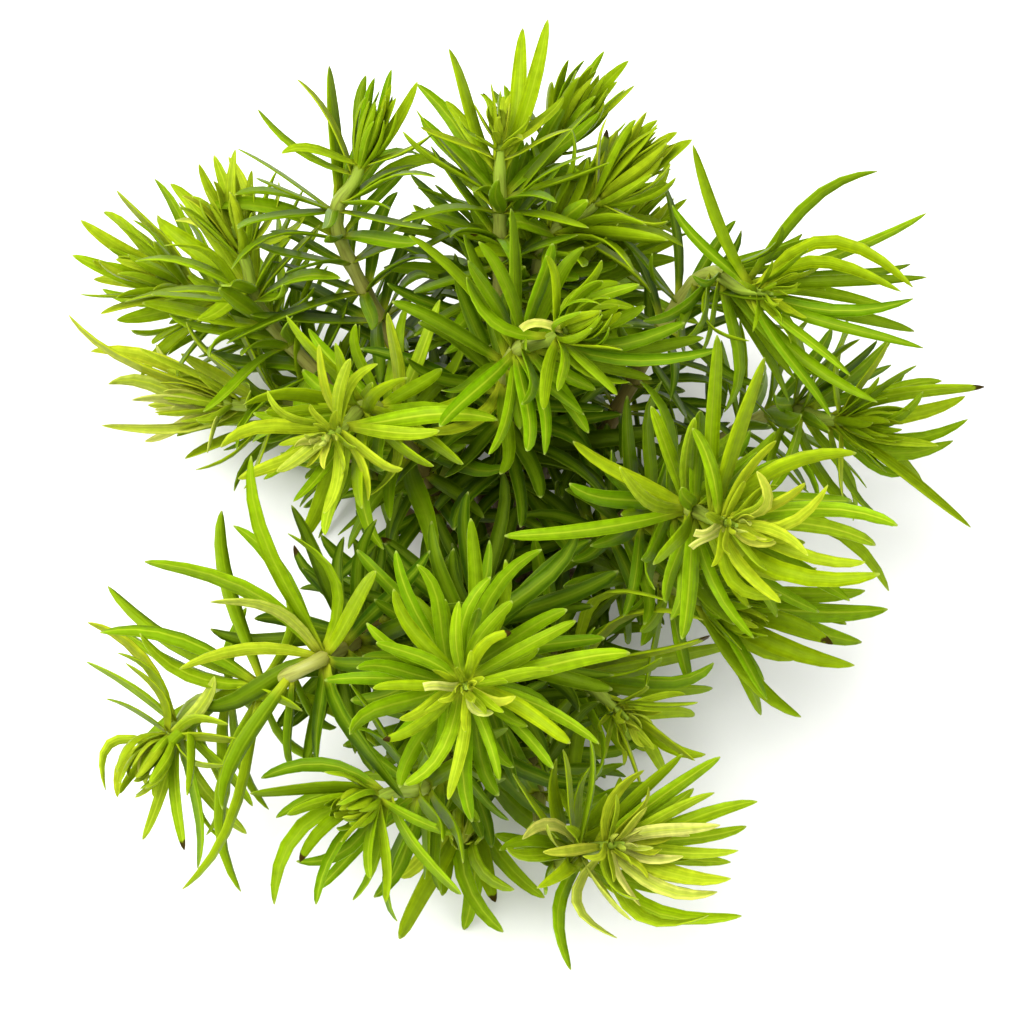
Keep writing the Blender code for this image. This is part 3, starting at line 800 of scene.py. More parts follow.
        bud_spread=1.3,
        tone=-0.08,
        broad=1.15,
    ),
    "left_back": Reading(
        tip=(-40.3, 46.5, 46),
        lean=(-0.3, 0.75),
        rosette=((106, 17), (100, 17), (94, 17), (137, 12), (129, 13), (155, 12), (60, 12), (30, 12)),
        whorl=((150, 15), (45, 15), (180, 15), (10, 14)),
        bud=Bud.BRUSH,
        bud_size=0.9,
        bud_spread=1.1,
        tone=-0.14,
        broad=1.15,
    ),
    "left_low": Reading(
        tip=(-41.8, 24, 23),
        lean=(-0.9, 0.1),
        rosette=(
            (171, 20), (189, 21), (152, 29, 1), (160, 25), (204, 14), (254, 8), (178, 14), (150, 17),
            (140, 15),
        ),
        whorl=((170, 20), (220, 16), (120, 16), (250, 14)),
        bare=(200, 300),
        bud=Bud.BRUSH,
        bud_size=0.7,
        bud_spread=1.1,
        tone=-0.28,
        broad=1.15,
    ),
    "right_front_low": Reading(
        tip=(30.2, -6.2, 30),
        lean=(0.7, -0.3),
        rosette=(
            (357, 29, -1.5, 0.5), (350, 24, 1.7, 0.5), (342, 20, 0.7, 0.5), (337, 26, -1.5, 0.45),
            (330, 17, -1.6, 0.5), (296, 19.5, 0.5, 0.55), (311, 24, -1, 0.6), (301, 17, 1, 0.6),
            (5, 24, 1, 0.5), (345, 27, 0.5, 0.55),
        ),
        whorl=((330, 24, 0, 0.6), (316, 22, 1, 0.65), (260, 16), (350, 20)),
        browned=(342,),
        bare=(285, 320),
        bud=Bud.BRUSH,
        bud_size=0.75,
        tone=0.05,
        broad=1.3,
    ),
    "front_right_low": Reading(
        tip=(15.5, -21.5, 25),
        lean=(0.5, -0.45),
        rosette=((347, 15), (327, 15), (308, 16), (3, 13), (331, 18), (290, 13)),
        whorl=(
            (25, 21, 4.8, 0.25), (41, 18, 5.9, 0.35), (10, 26, 0, 0.45), (18, 21, 0.5, 0.4), (280, 15),
            (315, 18),
        ),
        browned=(18,),
        tone=0.02,
        reach=1.35,
        blunt=0.7,
    ),
    "front_low": Reading(
        tip=(-5.4, -37.2, 15),
        lean=(-0.1, -0.6),
        rosette=(
            (243, 24, 0.5, 0.6), (284, 21, -3.7, 0.6), (307, 19, -1.7, 0.5), (286, 15, 0, 0.6),
            (300, 14, -2.6, 0.5), (267, 21, 1.2, 0.6), (225, 15),
        ),
        whorl=((210, 18), (325, 18), (255, 20)),
        browned=(286,),
        bare=(240, 330),
        bud=Bud.CLOSED,
        bud_size=0.7,
        tone=-0.06,
        broad=1.4,
        blunt=0.9,
    ),
}


def deselect_all() -> None:
    """Leaves nothing selected, so that an operator acts only on what is selected next."""
    bpy.ops.object.select_all(action="DESELECT")


def join_pieces(parts: Sequence[bpy.types.Object], name: str) -> bpy.types.Object:
    """Joins objects into one.

    Args:
        parts: the objects.
        name: the name that the whole takes.

    Returns:
        The whole.
    """
    deselect_all()
    for part in parts:
        part.select_set(True)
    bpy.context.view_layer.objects.active = parts[0]
    if len(parts) > 1:
        bpy.ops.object.join()
    whole = bpy.context.view_layer.objects.active
    whole.name = whole.data.name = name
    return whole


def attach(piece: bpy.types.Object, slot: Slot, node: str) -> None:
    """Makes a finished piece ride on the body in place of a node, and reports it.

    Args:
        piece: the finished piece.
        slot: the slot for its material; not used.
        node: the CAD node whose form it gives.
    """
    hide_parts(node)
    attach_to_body(piece, BODY)
    LOG.info("%s: %d faces, in place of %s", piece.name, len(piece.data.polygons), node)


def across(vector: Vector, direction: Vector) -> Vector:
    """The part of a vector that is square to a direction, at length 1."""
    return (vector - vector.dot(direction) * direction).normalized()


def smooth_points(points: Sequence[Vector], steps: int = 12) -> list[Vector]:
    """Points along a smooth curve, Catmull and Rom's.

    Args:
        points: the points that the curve goes through.
        steps: how many points there are from each of them to the next.

    Returns:
        The points, with the first and the last ones given.
    """
    ends = [2 * points[0] - points[1], *points, 2 * points[-1] - points[-2]]
    path = []
    for a, b, c, d in zip(ends, ends[1:], ends[2:], ends[3:]):
        for step in range(steps):
            t = step / steps
            path.append(
                0.5 * (2 * b + (c - a) * t + (2 * a - 5 * b + 4 * c - d) * t * t
                       + (3 * b - a - 3 * c + d) * t ** 3)
            )
    return [*path, points[-1]]


class Line:
    """A smooth curve that is read by the distance along it, and goes on straight past its end."""

    def __init__(self, points: Sequence[Vector]) -> None:
        """Measures the curve.

        Args:
            points: the points that it goes through.
        """
        self.points = smooth_points(points)
        self.marks = [0.0]
        for a, b in zip(self.points, self.points[1:]):
            self.marks.append(self.marks[-1] + (b - a).length)
        self.length = self.marks[-1]

    def at(self, distance: float) -> tuple[Vector, Vector]:
        """Reads the curve at a place.

        Args:
            distance: how far the place is from the start.

        Returns:
            The point there and the curve's direction.
        """
        i = next((i for i, m in enumerate(self.marks) if i and m >= distance), len(self.marks) - 1)
        a, b = self.points[i - 1], self.points[i]
        share = (distance - self.marks[i - 1]) / (self.marks[i] - self.marks[i - 1])
        direction = (b - a).normalized()
        if share > 1:
            return b + (distance - self.marks[i]) * direction, direction
        return a.lerp(b, share), direction


@dataclass
class Leaf:
    """A leaf to be made: the four control points of its curve, the direction across its blade at its
    foot, and its look."""

    controls: np.ndarray
    wide: Vector
    width: float
    age: float
    twist: float = 0.0
    fold: float = 0.1
    tint: float = 0.5
    blunt: float = 0.0
    browned: float = 0.0
    cut: bool = False

    def reach(self) -> Vector:
        """The straight way from its root to its tip."""
        return Vector(self.controls[3] - self.controls[0])

    def curve(self, shares: np.ndarray) -> np.ndarray:
        """Reads the leaf's curve.

        Args:
            shares: 0 at its root to 1 at its tip, for each place.

        Returns:
            The points there.
        """
        t = shares[:, None]
        a, b, c, d = self.controls
        return a * (1 - t) ** 3 + 3 * b * t * (1 - t) ** 2 + 3 * c * t * t * (1 - t) + d * t ** 3

    def slope(self, shares: np.ndarray) -> np.ndarray:
        """Reads the direction of the leaf's curve.

        Args:
            shares: 0 at its root to 1 at its tip, for each place.

        Returns:
            The directions there, at length 1.
        """
        t = shares[:, None]
        a, b, c, d = self.controls
        rate = (b - a) * (1 - t) ** 2 + 2 * (c - b) * t * (1 - t) + (d - c) * t * t
        return rate / np.linalg.norm(rate, axis=1, keepdims=True)


class Crowd:
    """Where leaves and stems already are, as short straight segments, so that new leaves keep clear. Only
    the outer part of a new leaf is compared with them, because leaves always crowd at their roots."""

    SAMPLES = np.linspace(0.1, 1, 9)
    OUTER_SAMPLES = SAMPLES[SAMPLES > 0.35]
    LEGS = np.linspace(0, 1, 5)
    LEAST_SQUARE = 1e-12

    def __init__(self, most: int = 20000) -> None:
        """Makes room for the segments.

        Args:
            most: how many there may be.
        """
        self.starts = np.zeros((most, 3), np.float32)
        self.lines = np.zeros((most, 3), np.float32)
        self.squares = np.ones(most, np.float32)
        self.used = 0

    def add(self, points: np.ndarray) -> None:
        """Takes in a line.

        Args:
            points: its points, in order.
        """
        count = len(points) - 1
        place = slice(self.used, self.used + count)
        self.starts[place] = points[:-1]
        self.lines[place] = points[1:] - points[:-1]
        self.squares[place] = (self.lines[place] ** 2).sum(1) + self.LEAST_SQUARE
        self.used += count

    def add_leaf(self, leaf: Leaf) -> None:
        """Takes in a leaf."""
        self.add(leaf.curve(self.LEGS))

    def room(self, leaf: Leaf) -> float:
        """Measures how clear a leaf keeps.

        Args:
            leaf: the leaf.

        Returns:
            The least distance from its outer part to all else, in metres.
        """
        places = leaf.curve(self.OUTER_SAMPLES).astype(np.float32)
        starts, lines = self.starts[: self.used], self.lines[: self.used]
        offsets = places[:, None, :] - starts[None]
        share = np.clip((offsets * lines).sum(-1) / self.squares[: self.used], 0, 1)
        gaps = offsets - share[..., None] * lines
        return float(np.sqrt((gaps ** 2).sum(-1).min()))

    def roomiest(self, choices: Iterable[Leaf], enough: float) -> Leaf:
        """Picks a leaf that keeps clear.

        Args:
            choices: the leaves to pick from.
            enough: the distance to all else at which a leaf is taken at once, in metres.

        Returns:
            The first leaf with enough room, or else the one with the most.
        """
        best, most = None, -1.0
        for leaf in choices:
            room = self.room(leaf)
            if room > enough:
                return leaf
            if room > most:
                best, most = leaf, room
        return best


@dataclass
class Blade:
    """The leaf that all leaves are copies of: straight, 1 long and 1 wide, with a shallow channel above, a
    rounded back and a blunt point. Its map runs 0 to 1 across and along. outline gives its width along it,
    and rim, channel and back are the thickness of its margin and the depths of its channel and its back."""

    outline: tuple[Pair, ...] = (
        (0.0, 0.52), (0.08, 0.62), (0.22, 0.84), (0.38, 0.98), (0.52, 1.0), (0.68, 0.9),
        (0.81, 0.7), (0.91, 0.44), (0.97, 0.21), (1.0, 0.05),
    )
    sides: int = 6
    rim: float = 0.12
    channel: float = 0.07
    back: float = 0.09
    tip_from: float = 0.7
    bluntest: float = 1.4
    torn_width: float = 0.42
    on_middle: float = 1e-6
    material: bpy.types.Material | None = None
    template: bpy.types.Object | None = field(default=None, init=False)

    def model(self) -> None:
        """Models the template: a six-sided face with two corners on its middle line, which is drawn out
        station by station, and grooved."""
        deselect_all()
        bpy.ops.mesh.primitive_circle_add(
            vertices=self.sides, radius=0.5 / math.cos(math.pi / self.sides), fill_type="NGON"
        )
        blade = bpy.context.object
        bpy.ops.object.mode_set(mode="EDIT")
        bpy.ops.mesh.select_all(action="SELECT")
        _, foot_width = self.outline[0]
        bpy.ops.transform.resize(value=(foot_width, self.rim, 1), center_override=(0, 0, 0))
        for (before, narrow), (share, wide) in zip(self.outline, self.outline[1:]):
            bpy.ops.mesh.extrude_region_move(TRANSFORM_OT_translate={"value": (0, 0, share - before)})
            bpy.ops.transform.resize(value=(wide / narrow, 1, 1), center_override=(0, 0, share))
        bpy.ops.mesh.select_all(action="SELECT")
        bpy.ops.mesh.normals_make_consistent(inside=False)
        bpy.ops.object.mode_set(mode="OBJECT")
        self.groove(blade.data)
        self.map_blade(blade.data)
        deselect_all()
        blade.select_set(True)
        bpy.ops.object.shade_smooth()
        blade.data.materials.append(self.material)
        blade.name = "leaf_template"
        self.template = blade

    def groove(self, mesh: bpy.types.Mesh) -> None:
        """Thins the blade's margins, lowers its middle for the channel, and rounds its back.

        Args:
            mesh: the blade's mesh.
        """
        for vertex in mesh.vertices:
            width = np.interp(vertex.co.z, *zip(*self.outline)) ** 0.5
            if abs(vertex.co.x) > self.on_middle:
                vertex.co.y = math.copysign(self.rim / 2 * width, vertex.co.y)
            elif vertex.co.y > 0:
                vertex.co.y = (self.rim / 2 - self.channel) * width
            else:
                vertex.co.y = -(self.rim / 2 + self.back) * width

    def map_blade(self, mesh: bpy.types.Mesh) -> None:
        """Gives the blade its map and the attribute for its look.

        Args:
            mesh: the blade's mesh.
        """
        layer = mesh.uv_layers.new(name="blade")
        for loop in mesh.loops:
            place = mesh.vertices[loop.vertex_index].co
            side = 0.5 if abs(place.x) < self.on_middle else float(place.x > 0)
            layer.data[loop.index].uv = (side, place.z)
        mesh.attributes.new("leaf", "FLOAT_COLOR", "POINT")

    def copy_along(self, leaf: Leaf) -> bpy.types.Object:
        """Copies the template and bends the copy along a leaf's curve.

        Args:
            leaf: the leaf to make.

        Returns:
            The copy, with its own mesh.
        """
        mesh = self.template.data.copy()
        flat = np.empty(len(mesh.vertices) * 3)
        mesh.vertices.foreach_get("co", flat)
        flat = flat.reshape(-1, 3)
        shares = flat[:, 2]
        line, slope = leaf.curve(shares), leaf.slope(shares)
        wide = np.array(leaf.wide)[None] - (slope @ np.array(leaf.wide))[:, None] * slope
        wide /= np.linalg.norm(wide, axis=1, keepdims=True)
        up = np.cross(slope, wide)
        turn = (leaf.twist * shares)[:, None]
        wide, up = np.cos(turn) * wide + np.sin(turn) * up, np.cos(turn) * up - np.sin(turn) * wide
        towards_tip = np.clip((flat[:, 2:] - self.tip_from) / (1 - self.tip_from), 0, 1)
        sideways = flat[:, :1] * leaf.width * (1 + self.bluntest * leaf.blunt * towards_tip ** 2)
        if leaf.cut:
            sideways = np.sign(sideways) * self.torn_width * leaf.width
        upwards = flat[:, 1:2] * leaf.width + leaf.fold * np.abs(sideways)
        places = line + sideways * wide + upwards * up
        mesh.vertices.foreach_set("co", places.ravel())
        look = np.zeros((len(places), 4), np.float32)
        look[:, 0], look[:, 1], look[:, 2] = leaf.age, leaf.tint, leaf.browned
        look[:, 3] = flat[:, 1] > 0
        mesh.attributes["leaf"].data.foreach_set("color", look.ravel())
        copy = bpy.data.objects.new("leaf", mesh)
        bpy.context.collection.objects.link(copy)
        return copy

    def grow(self, leaves: Sequence[Leaf], name: str) -> bpy.types.Object:
        """Makes the leaves and joins them into one piece of this name."""
        return join_pieces([self.copy_along(leaf) for leaf in leaves], name)

    def remove(self) -> None:
        """Removes the template, once all leaves are made."""
        bpy.data.objects.remove(self.template)


@dataclass
class Stem:
    """A round stem, slightly swollen where whorls of leaves stand, drawn along its line. beyond is how far
    it goes on past the line's end, into the bud, and seam_side is the side that its faces start from."""

    line: Line
    whorls: Sequence[float]
    beyond: float
    foot_radius: float = 1.3 * MM
    top_radius: float = 0.9 * MM
    bud_radius: float = 0.3 * MM
    swelling: float = 0.22 * MM
    swelling_length: float = 1.1 * MM
    sides: int = 20
    step: float = 1.6 * MM
    seam_side: Place = (0.3, 0.2, 1)
    ring_decimals: int = 7
    material: bpy.types.Material | None = None

    def radius(self, mark: float) -> float:
        """Works out the stem's radius.

        Args:
            mark: the distance along the stem, in metres.

        Returns:
            The radius there, in metres.
        """
        share = mark / self.line.length
        radius = self.foot_radius + (self.top_radius - self.foot_radius) * min(1, share)
        if mark > self.line.length:
            radius += (self.bud_radius - self.top_radius) * (mark - self.line.length) / self.beyond
        return radius + sum(
            self.swelling * math.exp(-(((mark - whorl) / self.swelling_length) ** 2))
            for whorl in self.whorls
        )

    def build(self, name: str) -> bpy.types.Object:
        """Models the stem as a cylinder that is cut into stations and laid along the line.

        Args:
            name: the piece's name.

        Returns:
            The finished stem.
        """
        whole = self.line.length + self.beyond
        deselect_all()
        bpy.ops.mesh.primitive_cylinder_add(vertices=self.sides, radius=1, depth=1, location=(0, 0, 0.5))
        stem = bpy.context.object
        bpy.ops.object.transform_apply(location=True, rotation=False, scale=False)
        bpy.ops.object.mode_set(mode="EDIT")
        bpy.ops.mesh.select_mode(type="EDGE")
        bpy.ops.mesh.select_all(action="DESELECT")
        bpy.ops.object.mode_set(mode="OBJECT")
        mesh = stem.data
        for edge in mesh.edges:
            # Only the edges that run the whole length, 1, are cut.
            low, high = (mesh.vertices[i].co.z for i in edge.vertices)
            edge.select = abs(high - low) > 0.5
        bpy.ops.object.mode_set(mode="EDIT")
        bpy.ops.mesh.subdivide(number_cuts=round(whole / self.step))
        bpy.ops.mesh.select_mode(type="VERT")
        bpy.ops.object.mode_set(mode="OBJECT")
        self.lay(mesh, whole)
        bpy.ops.object.shade_smooth_by_angle(angle=SMOOTH_BELOW)
        mesh.materials.append(self.material)
        stem.name = mesh.name = name
        return stem

    def lay(self, mesh: bpy.types.Mesh, whole: float) -> None:
        """Moves the cylinder's rings onto the line, and gives them their map and how far up they are.

        Args:
            mesh: the cylinder's mesh, 1 high.
            whole: the stem's whole length, in metres.
        """
        layer = mesh.uv_layers.new(name="blade")
        look = mesh.attributes.new("leaf", "FLOAT_COLOR", "POINT")
        marks = [round(vertex.co.z * whole, self.ring_decimals) for vertex in mesh.vertices]
        frames = {}
        _, ahead = self.line.at(0)
        side = across(Vector(self.seam_side), ahead)
        for mark in sorted(set(marks)):
            point, direction = self.line.at(mark)
            side = across(side, direction)
            frames[mark] = point, side, direction.cross(side)
        angles = [math.atan2(vertex.co.y, vertex.co.x) for vertex in mesh.vertices]
        for vertex, mark, angle in zip(mesh.vertices, marks, angles):
            point, first, second = frames[mark]
            vertex.co = point + self.radius(mark) * (math.cos(angle) * first + math.sin(angle) * second)
            look.data[vertex.index].color = grey(mark / whole)
        for loop in mesh.loops:
            i = loop.vertex_index
            layer.data[loop.index].uv = (angles[i] * self.foot_radius / MM, marks[i] / MM)


@dataclass(frozen=True)
class Ring:
    """A ring of new leaves in a bud: how far past the shoot's tip it stands, its leaves' length and how
    many degrees they lean out, their number and their age."""

    beyond: float
    length: float
    spread: float
    count: int
    age: float


@dataclass(frozen=True)
class BudForm:
    """The newest leaves' form: their rings, how far their middles bulge out as a share of their length,
    how strong their own bends are, and their width as a share of a grown leaf's. Each ring is turned by
    ring_turn from the last one, and each leaf by up to turn, both in radians, and tilted by up to tilt in
    degrees. root is how far from the stem's line the leaves start."""

    rings: tuple[Ring, ...]
    bulge: float
    bend: float
    width: float
    ring_turn: float = 0.7
    turn: float = 0.25
    tilt: float = 8
    lengths: Pair = (0.78, 1.12)
    folds: Pair = (0.2, 0.5)
    root: float = 0.55 * MM


BUDS = {
    Bud.OPEN: BudForm(
        rings=(
            Ring(3.2 * MM, 9.5 * MM, 54, 6, 0.3),
            Ring(4.4 * MM, 7.4 * MM, 38, 4, 0.2),
            Ring(5.4 * MM, 5.6 * MM, 24, 3, 0.14),
            Ring(6.2 * MM, 4.0 * MM, 9, 2, 0.08),
        ),
        bulge=0.05,
        bend=1.3,
        width=0.78,
    ),
    Bud.CLOSED: BudForm(
        rings=(
            Ring(1.8 * MM, 12.0 * MM, 15, 7, 0.38),
            Ring(3.0 * MM, 10.0 * MM, 8, 6, 0.28),
            Ring(4.4 * MM, 7.5 * MM, 4, 4, 0.18),
        ),
        bulge=0.2,
        bend=0.6,
        width=0.9,
    ),
    Bud.BRUSH: BudForm(
        rings=(
            Ring(0.6 * MM, 16.0 * MM, 27, 7, 0.5),
            Ring(2.2 * MM, 15.0 * MM, 17, 6, 0.44),
            Ring(4.0 * MM, 12.0 * MM, 8, 4, 0.34),
        ),
        bulge=0.03,
        bend=0.6,
        width=0.78,
    ),
}


@dataclass(frozen=True)
class Habit:
    """How leaves grow, with pairs for the ranges that chance picks from. rises is how far a leaf first
    follows its stem, and outwards how far it stands off it. sway and curl are shares of its length. A leaf
    is slimmest, a share of its width, when it is short, and broader the longer it is, up to longest_share
    times long_leaf. inner_height and outer_height are the least ones of its two parts over the ground, and
    root_depth is a share of the stem's radius."""

    rises: Pair = (0.1, 0.8)
    outwards: float = 0.3
    sway: float = 0.2
    curl: float = 0.22
    inner_height: float = 1.0 * MM
    outer_height: float = 0.7 * MM
    width: float = 2.25 * MM
    widths: Pair = (0.8, 1.1)
    slimmest: float = 0.5
    long_leaf: float = 20 * MM
    longest_share: float = 1.2
    age_spread: float = 0.06
    twist: float = 0.7
    folds: Pair = (0.0, 0.35)
    blunts: Pair = (0.4, 1.0)
    browned_share: float = 0.02
    root_depth: float = 0.8


@dataclass(frozen=True)
class Seen:
    """The leaves that the view shows. The marks are distances past the shoot's tip. The pairs are for the
    rosette's lower and upper leaves, and for the upper and lower whorl. A leaf is as long as is usual for
    its kind, but at least least_length times as long as it shows, and each of lengths_tried is a share of
    that. It never points so far back down its stem that the cosine is under furthest_back, and on a stem
    that leans_away from the camera, also a cosine, it is first tried on the far side. A bow that isn't
    known is up to free_bow of its length. A tip under near_ground is moved to over_ground."""

    rosette_marks: Pair = (-0.6 * MM, 1.6 * MM)
    rosette_ages: Pair = (0.42, 0.3)
    young_length: float = 13 * MM
    whorl_ages: Pair = (0.58, 0.68)
    grown_length: float = 20 * MM
    pale_mark: float = 3.6 * MM
    pale_age: float = 0.02
    stub_age: float = -0.1
    pale_length: float = 6 * MM
    least_length: float = 1.04
    lengths_tried: tuple[float, ...] = (1, 1.08, 0.94, 1.16)
    leans_away: float = -0.1
    furthest_back: float = -0.35
    free_bow: float = 0.09
    bend_if_known: float = 0.45
    twist_kept: float = 0.5
    near_ground: float = 6 * MM
    over_ground: float = 0.3 * MM
    room: float = 2.0 * MM


@dataclass(frozen=True)
class Filling:
    """The leaves that fill a shoot's whorls all round. Further below the tip they are older, and darker,
    which is partly their age and partly painted shade deep inside the clump, and they stand further out,
    by spread in degrees. lengths_mm gives their length down to each distance from the tip.
    A leaf is left out where one stands already, closer than the angle that has the cosine same_way, and
    in a shoot's bare directions, where it would show more than shows_from in length."""

    in_whorl: int = 7
    step: float = 5.7 * MM
    highest: float = 5.5 * MM
    lowest: float = 10 * MM
    first_age: float = 0.46
    # How fast leaves darken further down the stem: partly their age, partly painted shade deep inside the
    # clump.
    ageing_and_shade_mm: float = 68
    spread: float = 50
    spread_per_mm: float = 0.85
    widest: float = 92
    lengths_mm: tuple[Pair, ...] = ((20, 17.5), (45, 20.0), (math.inf, 16.0))
    phase: float = 0.3
    same_whorl: float = 2 * MM
    same_way: float = 0.86
    room: float = 1.9 * MM
    broader: float = 1.14
    tries: int = 5
    tilt: float = 20
    turn: float = 0.25
    length_range: Pair = (0.72, 1.2)
    tip_height: float = 0.8 * MM
    shows_from: float = 6 * MM


@dataclass(frozen=True)
class Station:
    """A place on a shoot's stem: its point, and the stem's direction and radius there."""

    point: Vector
    axis: Vector
    radius: float
    aside: Place = (0.2, 0.1, 1)

    def sides(self) -> tuple[Vector, Vector]:
        """Two directions square to the stem here and to each other."""
        first = across(Vector(self.aside), self.axis)
        return first, self.axis.cross(first)

    def root(self, outward: Vector) -> Vector:
        """Where a leaf that stands this way leaves the stem, a little inside its skin."""
        return self.point + HABIT.root_depth * self.radius * outward


HABIT = Habit()
SEEN = Seen()
FILLING = Filling()


def on_base(direction: Vector) -> Vector:
    """The point of the stem base's smooth outline in this direction from its middle."""
    flat = math.hypot(direction.x, direction.y) / BASE_RADIUS
    return direction / math.hypot(flat, direction.z / BASE_HEIGHT)


def on_floor(tip: Vector) -> Vector:
    """Keeps a leaf's tip over the ground.

    Args:
        tip: the tip.

    Returns:
        The tip itself or, where it is low, the point just over the ground that shows at the same place.
    """
    if tip.z > SEEN.near_ground:
        return tip
    return tip + VIEW.towards * (SEEN.over_ground - tip.z) / VIEW.towards.z


@dataclass
class Shoot:
    """One shoot: its stem, its whorls of grown leaves, its rosette and its bud. It leaves the base in the
    direction start, and chance gives its small irregularities."""

    name: str
    reading: Reading
    start: Vector
    chance: random.Random
    gap: float = 0.3 * MM
    straight_start: float = 9 * MM
    root_radius_mm: float = 1.3
    narrowing_mm: float = 0.3
    bud_length: float = 6.2 * MM
    line: Line = field(init=False)
    whorls: list[float] = field(init=False)
    grown: list[Leaf] = field(default_factory=list, init=False)
    young: list[Leaf] = field(default_factory=list, init=False)
    newest: list[Leaf] = field(default_factory=list, init=False)

    def __post_init__(self) -> None:
        """Lays the stem's line and settles where its whorls stand."""
        tip = VIEW.placed(*(MM * Vector(self.reading.tip)))
        foot = on_base(self.start) + self.gap * self.start
        along = [VIEW.placed(*(MM * Vector(point))) for point in self.reading.via]
        self.line = Line([
            foot,
            foot + self.straight_start * self.start,
            *along,
            tip - self.reading.straight * MM * VIEW.heading(*self.reading.lean),
            tip,
        ])
        self.whorls = []
        stops = (self.line.length - FILLING.highest, *self.seen_marks(), FILLING.lowest)
        for high, low in zip(stops, stops[1:]):
            steps = max(1, round((high - low) / FILLING.step))
            self.whorls += [high + (low - high) * i / steps for i in range(steps)]

    def seen_marks(self) -> Pair:
        """Where the two whorls that the view shows stand along the stem."""
        upper, lower = (self.line.length - below * MM for below in self.reading.below)
        return upper, lower

    def station(self, mark: float) -> Station:
        """Finds a place on the stem.

        Args:
            mark: how far along the stem it is, in metres.

        Returns:
            The place.
        """
        point, axis = self.line.at(mark)
        narrowing = self.narrowing_mm * min(1, mark / self.line.length)
        return Station(point, axis, (self.root_radius_mm - narrowing) * MM)

    def add_to(self, crowd: Crowd) -> None:
        """Takes the stem into the crowd."""
        crowd.add(np.array([point[:] for point in self.line.points[::3]]))

    def make_leaf(
        self, root: Vector, outward: Vector, axis: Vector, tip: Vector, age: float,
        bow: float | None = None, bend: float = 1.0,
    ) -> Leaf:
        """A leaf from its root to its tip. It leaves the stem outwards and a little upwards, and bends over.

        Args:
            root: where it leaves the stem.
            outward: the direction away from the stem there.
            axis: the stem's direction there.
            tip: where it ends.
            age: 0 for the newest leaf, 1 for the oldest.
            bow: how far its middle shows to the left of the straight way, seen from its root, if known.
            bend: how strong its own irregular bends are.

        Returns:
            The leaf.
        """
        chance = self.chance
        reach = tip - root
        length = reach.length
        wide = axis.cross(reach).normalized()
        upper = reach.cross(wide).normalized()
        start = reach.normalized() + chance.uniform(*HABIT.rises) * axis + HABIT.outwards * outward
        middle = root + 0.5 * length * start.normalized()
        if bow is not None:
            straight = root + 0.5 * reach
            nearer = (middle - straight).dot(VIEW.towards) * VIEW.towards
            middle = straight + nearer + 2 * bow * VIEW.towards.cross(reach).normalized()
        sway = bend * chance.uniform(-HABIT.sway, HABIT.sway) * length
        curl = bend * chance.uniform(-HABIT.curl, HABIT.curl) * length
        second = root.lerp(middle, 2 / 3) - 0.5 * sway * wide
        third = tip.lerp(middle, 2 / 3) + sway * wide + curl * upper
        second.z = max(second.z, HABIT.inner_height)
        third.z = max(third.z, HABIT.outer_height)
        longer = min(HABIT.longest_share, length / HABIT.long_leaf)
        slim = HABIT.slimmest + (1 - HABIT.slimmest) * longer
        return Leaf(
            np.array([root[:], second[:], third[:], tip[:]]),
            wide,
            HABIT.width * slim * self.reading.broad * chance.uniform(*HABIT.widths),
            min(1, max(0, age + chance.uniform(-HABIT.age_spread, HABIT.age_spread))),
            twist=chance.uniform(-HABIT.twist, HABIT.twist),
            fold=chance.uniform(*HABIT.folds),
            tint=chance.random(),
            blunt=chance.uniform(*HABIT.blunts) * self.reading.blunt,
            browned=float(chance.random() < HABIT.browned_share * age),
        )

    def seen_choices(
        self, station: Station, shown: Sequence[float], usual: float, age: float
    ) -> Iterator[Leaf]:
        """The leaves that would show as one reading does, which differ in the depth that it doesn't show.

        Args:
            station: where the leaf leaves its stem.
            shown: the leaf as it shows: its angle and length, and its bow and age where they are known.
            usual: the length that such a leaf usually has, in metres.
            age: its age, if it isn't known.

        Yields:
            The leaves.
        """
        angle, length = math.radians(shown[0]), shown[1] * MM
        if len(shown) > 2:
            bow, bend = shown[2] * MM, SEEN.bend_if_known
        else:
            bow, bend = self.chance.uniform(-SEEN.free_bow, SEEN.free_bow) * length, 1.0
        # The shoot's tone adds its painted light and shade to the leaf's age.
        age = (shown[3] if len(shown) > 3 else age) + self.reading.tone
        middle, axis = station.point, station.axis
        flat = (math.cos(angle) * VIEW.right + math.sin(angle) * VIEW.up) * length
        flat *= VIEW.shrink_at(middle)
        whole = max(usual * self.reading.reach, SEEN.least_length * flat.length)
        signs = (1, -1) if axis.dot(VIEW.towards) > SEEN.leans_away else (-1, 1)
        for longer in SEEN.lengths_tried:
            depth = math.sqrt(max((whole * longer) ** 2 - flat.length_squared, 0))
            for sign in signs:
                tip = on_floor(middle + flat + sign * depth * VIEW.towards)
                if (tip - middle).normalized().dot(axis) < SEEN.furthest_back:
                    continue
                outward = across(tip - middle, axis)
                yield self.make_leaf(station.root(outward), outward, axis, tip, age, bow, bend)

